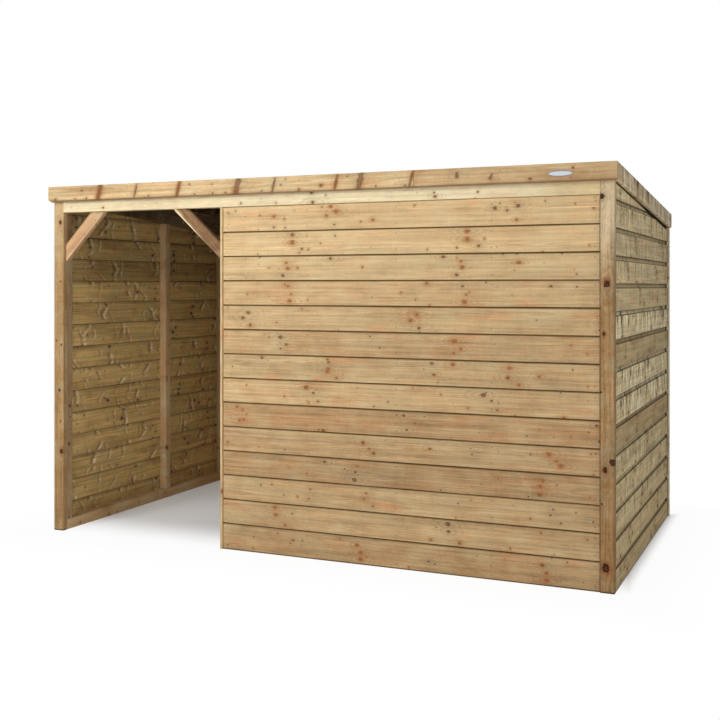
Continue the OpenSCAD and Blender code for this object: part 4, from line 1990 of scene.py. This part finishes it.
# The front boards' tones, lowest first, are partly their own and partly painted light: they grow brighter
# towards the top.
FRONT_LOOKS_AND_FALLOFF = board_looks(
    (-0.14, 0.14, 0.92), (-0.07, 0.08, 0.40), (-0.07, 0.08, 0.98), (-0.20, 0.26, 0.88),
    (-0.14, 0.10, 0.95), (-0.12, 0.34, 0.12), (-0.01, 0.08, 0.60), (-0.09, 0.04, 0.74),
    (-0.11, 0.14, 0.42), (-0.04, 0.04, 0.16), (0.01, 0.10, 0.48), (0.06, -0.08, 0.40),
    (0.17, 0.0, 0.50), (0.14, 0.0, 0.74),
)
RIGHT_LOOKS = board_looks(
    (-0.05, 0.10, 0.30), (0.03, 0.08, 0.45), (0.05, 0.06, 0.85), (0.06, 0.02, 0.55),
    (-0.02, 0.02, 0.20), (-0.14, 0.30, 0.70), (0.08, -0.12, 0.40), (0.12, -0.14, 0.95),
    (-0.12, 0.14, 0.25), (0.18, -0.16, 0.60), (0.02, 0.08, 0.80), (0.05, 0.05, 0.35),
    (-0.08, 0.03, 0.65), (0.02, -0.01, 0.15),
)
LEFT_LOOKS = board_looks(
    (-0.14, 0.12, 0.30), (-0.06, 0.04, 0.75), (-0.02, 0.00, 0.50), (-0.03, 0.00, 0.95),
    (0.00, 0.00, 0.35), (-0.05, 0.12, 0.60), (0.04, -0.03, 0.85), (-0.01, 0.00, 0.20),
    (0.03, -0.04, 0.70), (-0.03, -0.02, 0.45), (0.03, 0.00, 0.90), (-0.26, 0.22, 0.25),
    (-0.14, 0.12, 0.65), (-0.02, 0.04, 0.40),
)


@dataclass
class Cladding:
    """The lapped boards of all four walls."""

    palette: Palette
    deck: Slope
    rafters: Slope
    ledge: Slope
    tree: bpy.types.NodeTree

    def front(self) -> LappedWall:
        """The front panel, in planed boards with a narrow channel.

        Returns:
            Its plan.
        """
        return LappedWall(
            "front_panel_cladding",
            Facing.FRONT,
            self.palette.woods[Wood.BOARDS],
            "front_boards",
            seed=11,
            looks=FRONT_LOOKS_AND_FALLOFF,
            first_cover=0.163,
            channel=0.0074,
            channel_depth=0.0070,
            shoulder=0.0025,
            # Painted shade: black in the upper part of each narrow channel, lighter at its foot, and darker
            # board ends beside the posts.
            channel_shade=(1.0, 0.75, 0.25),
            end_shade=0.45,
        )

    def plans(self) -> list[LappedWall]:
        """Lists the walls, the front panel first.

        Returns:
            Their plans.
        """
        sawn = (self.palette.woods[Wood.WALLS], "wall_boards")
        side = {"top": self.deck, "ledge": self.ledge}
        # The right wall's channels end in painted shade, 75 mm long, at the rear corner trim.
        right = LappedWall("right_wall_cladding", Facing.RIGHT, *sawn, 23, RIGHT_LOOKS, shaded_channel_end=0.075, **side)
        left = LappedWall("left_wall_cladding", Facing.LEFT, *sawn, 37, LEFT_LOOKS, whorl_pitch=1.75, **side)
        rear = [
            LappedWall(f"back_wall_{part}_cladding", Facing.BACK, *sawn, seed, top=self.rafters)
            for part, seed in (("left", 41), ("right", 59))
        ]
        return [self.front(), right, left, *rear]

    def build(self) -> list[bpy.types.Object]:
        """Makes the walls."""
        return [wall.build(self.tree) for wall in self.plans()]


LEFT_POST_KNOTS: tuple[Knot, ...] = ((0.52, 0.060, 0.012), (1.25, 0.02, 0.004), (2.03, 0.052, 0.007))
RIGHT_POST_KNOTS: tuple[Knot, ...] = (
    (0.13, 0.030, 0.016), (0.645, 0.026, 0.010), (0.69, 0.066, 0.014),
    (1.36, 0.020, 0.007), (1.62, 0.036, 0.014), (2.08, 0.011, 0.010),
)
"""Large knots of the two posts: height, distance from the left edge and radius."""

SPIKES = {
    0.41: 0.010, 0.69: 0.005, 1.01: 0.007, 1.43: 0.012,
    1.68: 0.006, 2.09: 0.005, 2.24: 0.011, 2.555: 0.005,
}
"""Radii of the knots that lie across the front fascia, by their distance along it."""

FASCIA_KNOTS: tuple[Knot, ...] = (
    *((along, 0.045, -radius) for along, radius in SPIKES.items()),
    *((along, 0.014, 0.004) for along in (0.06, 0.22, 0.31, 0.79, 1.13, 1.26, 1.35, 1.60, 1.85, 2.52)),
    *((2.82 + rise / 9, rise, 0.006) for rise in (0.048, 0.058, 0.068)),
    *((3.00 + rise / 2, rise, 0.005) for rise in (0.034, 0.044, 0.054)),
)
"""The front fascia's knots: spikes across it, pins near its lower edge, and two that slant."""

TIMBERS = (
    ("rear_fascia", Run.ACROSS, Wood.FASCIA, "fascia_boards", 13, 0.0),
    ("left_fascia", Run.BACKWARD, Wood.WEATHERED, "fascia_boards", 14, 0.0),
    ("right_fascia", Run.BACKWARD, Wood.WEATHERED, "fascia_boards", 15, 0.0),
    ("rear_left_corner_trim", Run.UPRIGHT, Wood.TRIM, "wall_boards", 16, 0.0),
    ("rear_right_corner_trim", Run.UPRIGHT, Wood.TRIM, "wall_boards", 17, 0.0),
    ("roof_rafters", Run.BACKWARD, Wood.RAFTER, "framing", 18, 0.0),
    ("doorway_stud", Run.UPRIGHT, Wood.FRAMING, "framing", 19, -0.65),
    ("front_panel_studs", Run.UPRIGHT, Wood.FRAMING, "framing", 20, 0.0),
    ("front_panel_bottom_rail", Run.ACROSS, Wood.FRAMING, "framing", 21, 0.0),
    ("front_panel_top_rail", Run.ACROSS, Wood.FRAMING, "framing", 22, 0.0),
    ("back_wall_left_studs", Run.UPRIGHT, Wood.FRAMING, "framing", 24, 0.0),
    ("back_wall_right_studs", Run.UPRIGHT, Wood.FRAMING, "framing", 25, 0.0),
    ("back_wall_bottom_rail", Run.ACROSS, Wood.FRAMING, "framing", 26, 0.0),
    ("back_wall_top_rail", Run.ACROSS, Wood.FRAMING, "framing", 27, 0.0),
)
"""Timbers with nothing of their own but a node, a run, a wood, a slot, a seed and a tone."""

SIDE_PARTS = (
    ("front_stile", Run.UPRIGHT_SIDE, -0.24, 0.10),
    ("mid_stud", Run.UPRIGHT_SIDE, 0.20, 0.20),
    ("rear_stile", Run.UPRIGHT_SIDE, -0.15, 0.0),
    ("bottom_rail", Run.BACKWARD, 0.18, 0.06),
    # The top rails' dark tone is painted shade under the roof.
    ("top_rail", Run.BACKWARD, -0.65, 0.0),
)
"""Parts of each side wall's frame, with their run, tone and warmth."""


@dataclass
class Framework:
    """Posts, beam, braces, rails, studs, rafters, trims and fascias."""

    palette: Palette
    fall: float

    def front(self) -> list[Timber]:
        """Lists the timbers around the doorway and the front fascia.

        Returns:
            Their plans.
        """
        woods = self.palette.woods
        return [
            Timber(
                "front_left_post", Run.UPRIGHT, woods[Wood.POSTS], "posts", 3,
                spread=0.0, knots=LEFT_POST_KNOTS,
            ),
            Timber(
                "front_right_post", Run.UPRIGHT, woods[Wood.PALE_POST], "posts", 8,
                # The dark strip at the left edge is painted shade in the gap beside the beam and boards; the
                # faint strip at the right edge darkens that edge.
                spread=0.0, knots=RIGHT_POST_KNOTS, strips=((-0.01, 0.0025, 0.6), (0.0700, 0.09, 0.2)),
            ),
            Timber("front_beam", Run.ACROSS, woods[Wood.BEAM], "beam", 4, spread=0.0),
            Timber("left_brace", Run.RISING, woods[Wood.BRACE], "braces", 6, ease=0.003),
            Timber("right_brace", Run.FALLING, woods[Wood.HEARTWOOD], "braces", 7, ease=0.003),
            Timber(
                "front_panel_edge_batten", Run.UPRIGHT, woods[Wood.BOARDS], "framing", 9,
                ease=0.0015, tone=0.02,
            ),
            Timber(
                "front_fascia", Run.ACROSS, woods[Wood.FASCIA], "fascia_boards", 12,
                spread=0.0, planed_off=0.001, joint=2.57, looks=((0.02, 0.0), (-0.06, 0.14)),
                knots=FASCIA_KNOTS, strips=((-0.01, 0.007, 0.7),),
            ),
        ]

    def plans(self) -> list[Timber]:
        """Lists all timbers with their grain and finish.

        Returns:
            Their plans.
        """
        woods = self.palette.woods
        plans = self.front()
        for node, run, wood, slot, seed, tone in TIMBERS:
            fall = self.fall if run is Run.BACKWARD else 0.0
            plans.append(Timber(node, run, woods[wood], slot, seed, tone=tone, fall=fall))
        for first, side in ((31, "left"), (38, "right")):
            for seed, (part, run, tone, warmth) in enumerate(SIDE_PARTS, first):
                node = f"{side}_wall_{part}"
                look = {"tone": tone, "warmth": warmth, "fall": self.fall if part == "top_rail" else 0.0}
                plans.append(Timber(node, run, woods[Wood.FRAMING], "framing", seed, **look))
        return plans

    def build(self) -> list[bpy.types.Object]:
        """Makes the timbers."""
        return [plan.build() for plan in self.plans()]


def centres(axis: int, *nodes: str) -> list[float]:
    """Finds where the timbers of some nodes lie.

    Args:
        axis: The number of the axis.
        nodes: The nodes.

    Returns:
        The middle of each timber along the axis, in order.
    """
    found = []
    for node in nodes:
        bm = solid_copy(node)
        for group in islands(bm):
            places = [v.co[axis] for v in group]
            found.append((min(places) + max(places)) / 2)
        bm.free()
    return sorted(found)


OVAL_NAIL = Head("oval_nail", ((0.0026, -0.0012), (0.0030, 0.0001), (0.0022, 0.0007)), sides=8)
CLOUT_NAIL = Head("clout_nail", ((0.0050, -0.0008), (0.0055, 0.0003), (0.0040, 0.0009)))
CROSS_SCREW = Head("cross_screw", ((0.0040, -0.0015), (0.0044, 0.0001), (0.0036, 0.0004)), 12, 0.0010)


@dataclass
class Nailing:
    """The nails of the walls, fascias and felt, and the screws of the braces."""

    palette: Palette
    ledge: Slope
    felt: Slope

    def studs(self, wall: LappedWall) -> list[float]:
        """Finds the studs behind a wall's boards.

        Args:
            wall: The wall.

        Returns:
            The distance of each along the boards.
        """
        low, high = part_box(wall.node)
        axis = 1 if wall.facing.sideways else 0
        parts = ("front_stile", "mid_stud", "rear_stile") if wall.facing.sideways else ("studs",)
        nodes = [wall.node.replace("cladding", part) for part in parts]
        reach = high[axis] - low[axis]
        lines = [centre - low[axis] for centre in centres(axis, *nodes)]
        if wall.facing is Facing.FRONT:
            lines = [0.03, *lines]
        if wall.facing in (Facing.BACK, Facing.LEFT):
            lines = [reach - line for line in lines]
        return [line for line in lines if 0.01 < line < reach - 0.01]

    def boards(self, walls: Sequence[LappedWall]) -> Fixings:
        """Sets two nails through each lapped board into each stud behind it.

        Args:
            walls: The boarded walls.

        Returns:
            The nails.
        """
        nails = Fixings("board_nails", OVAL_NAIL, self.palette.steel, seed=71)
        for wall in walls:
            for spot, out in wall.nails(self.studs(wall)):
                nails.add(spot, out)
        return nails

    def fascias(self) -> Fixings:
        """Sets pairs of nails through the front and rear fascias into the rafters.

        Returns:
            The nails.
        """
        nails = Fixings("fascia_nails", OVAL_NAIL, self.palette.steel, seed=72)
        for node, way in (("front_fascia", -1.0), ("rear_fascia", 1.0)):
            low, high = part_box(node)
            face = high.y if way > 0.0 else low.y + 0.001
            for x in centres(0, "roof_rafters"):
                for share in (0.25, 0.72):
                    nails.add((x, face, low.z + (high.z - low.z) * share), (0.0, way, 0.0))
        return nails

    def clouts(self, pitch: float = 0.15, inset: float = 0.022) -> Fixings:
        """Sets broad felt nails along the four edges of the roof.

        Args:
            pitch: The distance between nails.
            inset: Their distance from the felt's edge.

        Returns:
            The nails.
        """
        nails = Fixings("felt_nails", CLOUT_NAIL, self.palette.zinc, seed=73)
        low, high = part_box("roof_felt")
        top = high.z - self.felt.at(low.y) - 0.0004
        across = round((high.x - low.x) / pitch)
        back = round((high.y - low.y) / pitch)
        spots = []
        for i in range(across + 1):
            x = low.x + inset + (high.x - low.x - 2 * inset) * i / across
            spots += [(x, low.y + inset), (x, high.y - inset)]
        for i in range(1, back):
            y = low.y + inset + (high.y - low.y - 2 * inset) * i / back
            spots += [(low.x + inset, y), (high.x - inset, y)]
        for x, y in spots:
            nails.add((x, y, self.felt.at(y) + top), (0.0, self.felt.fall, 1.0))
        return nails

    def screws(self, reach: float = 0.78) -> Fixings:
        """Sets pairs of screws near both ends and in the middle of each brace.

        Args:
            reach: The share of each brace's box in which the screws lie.

        Returns:
            The screws.
        """
        screws = Fixings("brace_screws", CROSS_SCREW, self.palette.steel, seed=74)
        for node, way in (("left_brace", 1.0), ("right_brace", -1.0)):
            low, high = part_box(node)
            middle = (low + high) / 2
            half = (high - low) / 2 * reach
            for share in (-0.72, 0.0, 0.72):
                for step in (-0.016, 0.016):
                    x = middle.x + way * (share * half.x - step * 0.2)
                    screws.add((x, low.y, middle.z + share * half.z + step), (0.0, -1.0, 0.0))
        return screws

    def build(self, walls: Sequence[LappedWall], tree: bpy.types.NodeTree) -> list[bpy.types.Object]:
        """Makes all fixings, one piece for each kind."""
        kinds = (self.boards(walls), self.fascias(), self.clouts(), self.screws())
        return [rows.build(tree) for rows in kinds]


def main(frame: dict) -> None:
    """Builds the shelter around its frame and reports each piece.
    """
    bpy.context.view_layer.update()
    Studio().build()
    palette = Palette.mixed()
    nodes = frame["nodes"]
    deck = Slope.under(nodes["roof_deck"].data)
    rafters = Slope.under(nodes["roof_rafters"].data)
    felt_bed = Slope.under(nodes["roof_felt"].data)
    ledge = Slope.step(nodes["right_wall_cladding"].data)
    cladding = Cladding(palette, deck, rafters, ledge, lapped_tree())
    pieces = cladding.build()
    pieces += Framework(palette, deck.fall).build()
    pieces.append(FeltRoof(palette.felt).build(felt_bed))
    pieces += Nailing(palette, ledge, felt_bed).build(cladding.plans(), heads_tree())
    pieces.append(OvalPlate(palette.plate).build())
    sheets = nodes["roof_deck"]
    sheets.data.materials.clear()
    sheets.data.materials.append(palette.sheets)
    for piece in (*pieces, sheets):
        LOG.info("%s: %d faces", piece.name, len(piece.data.polygons))


if __name__ == "__main__":
    logging.basicConfig(level=logging.INFO, format="%(message)s")
    main(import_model())
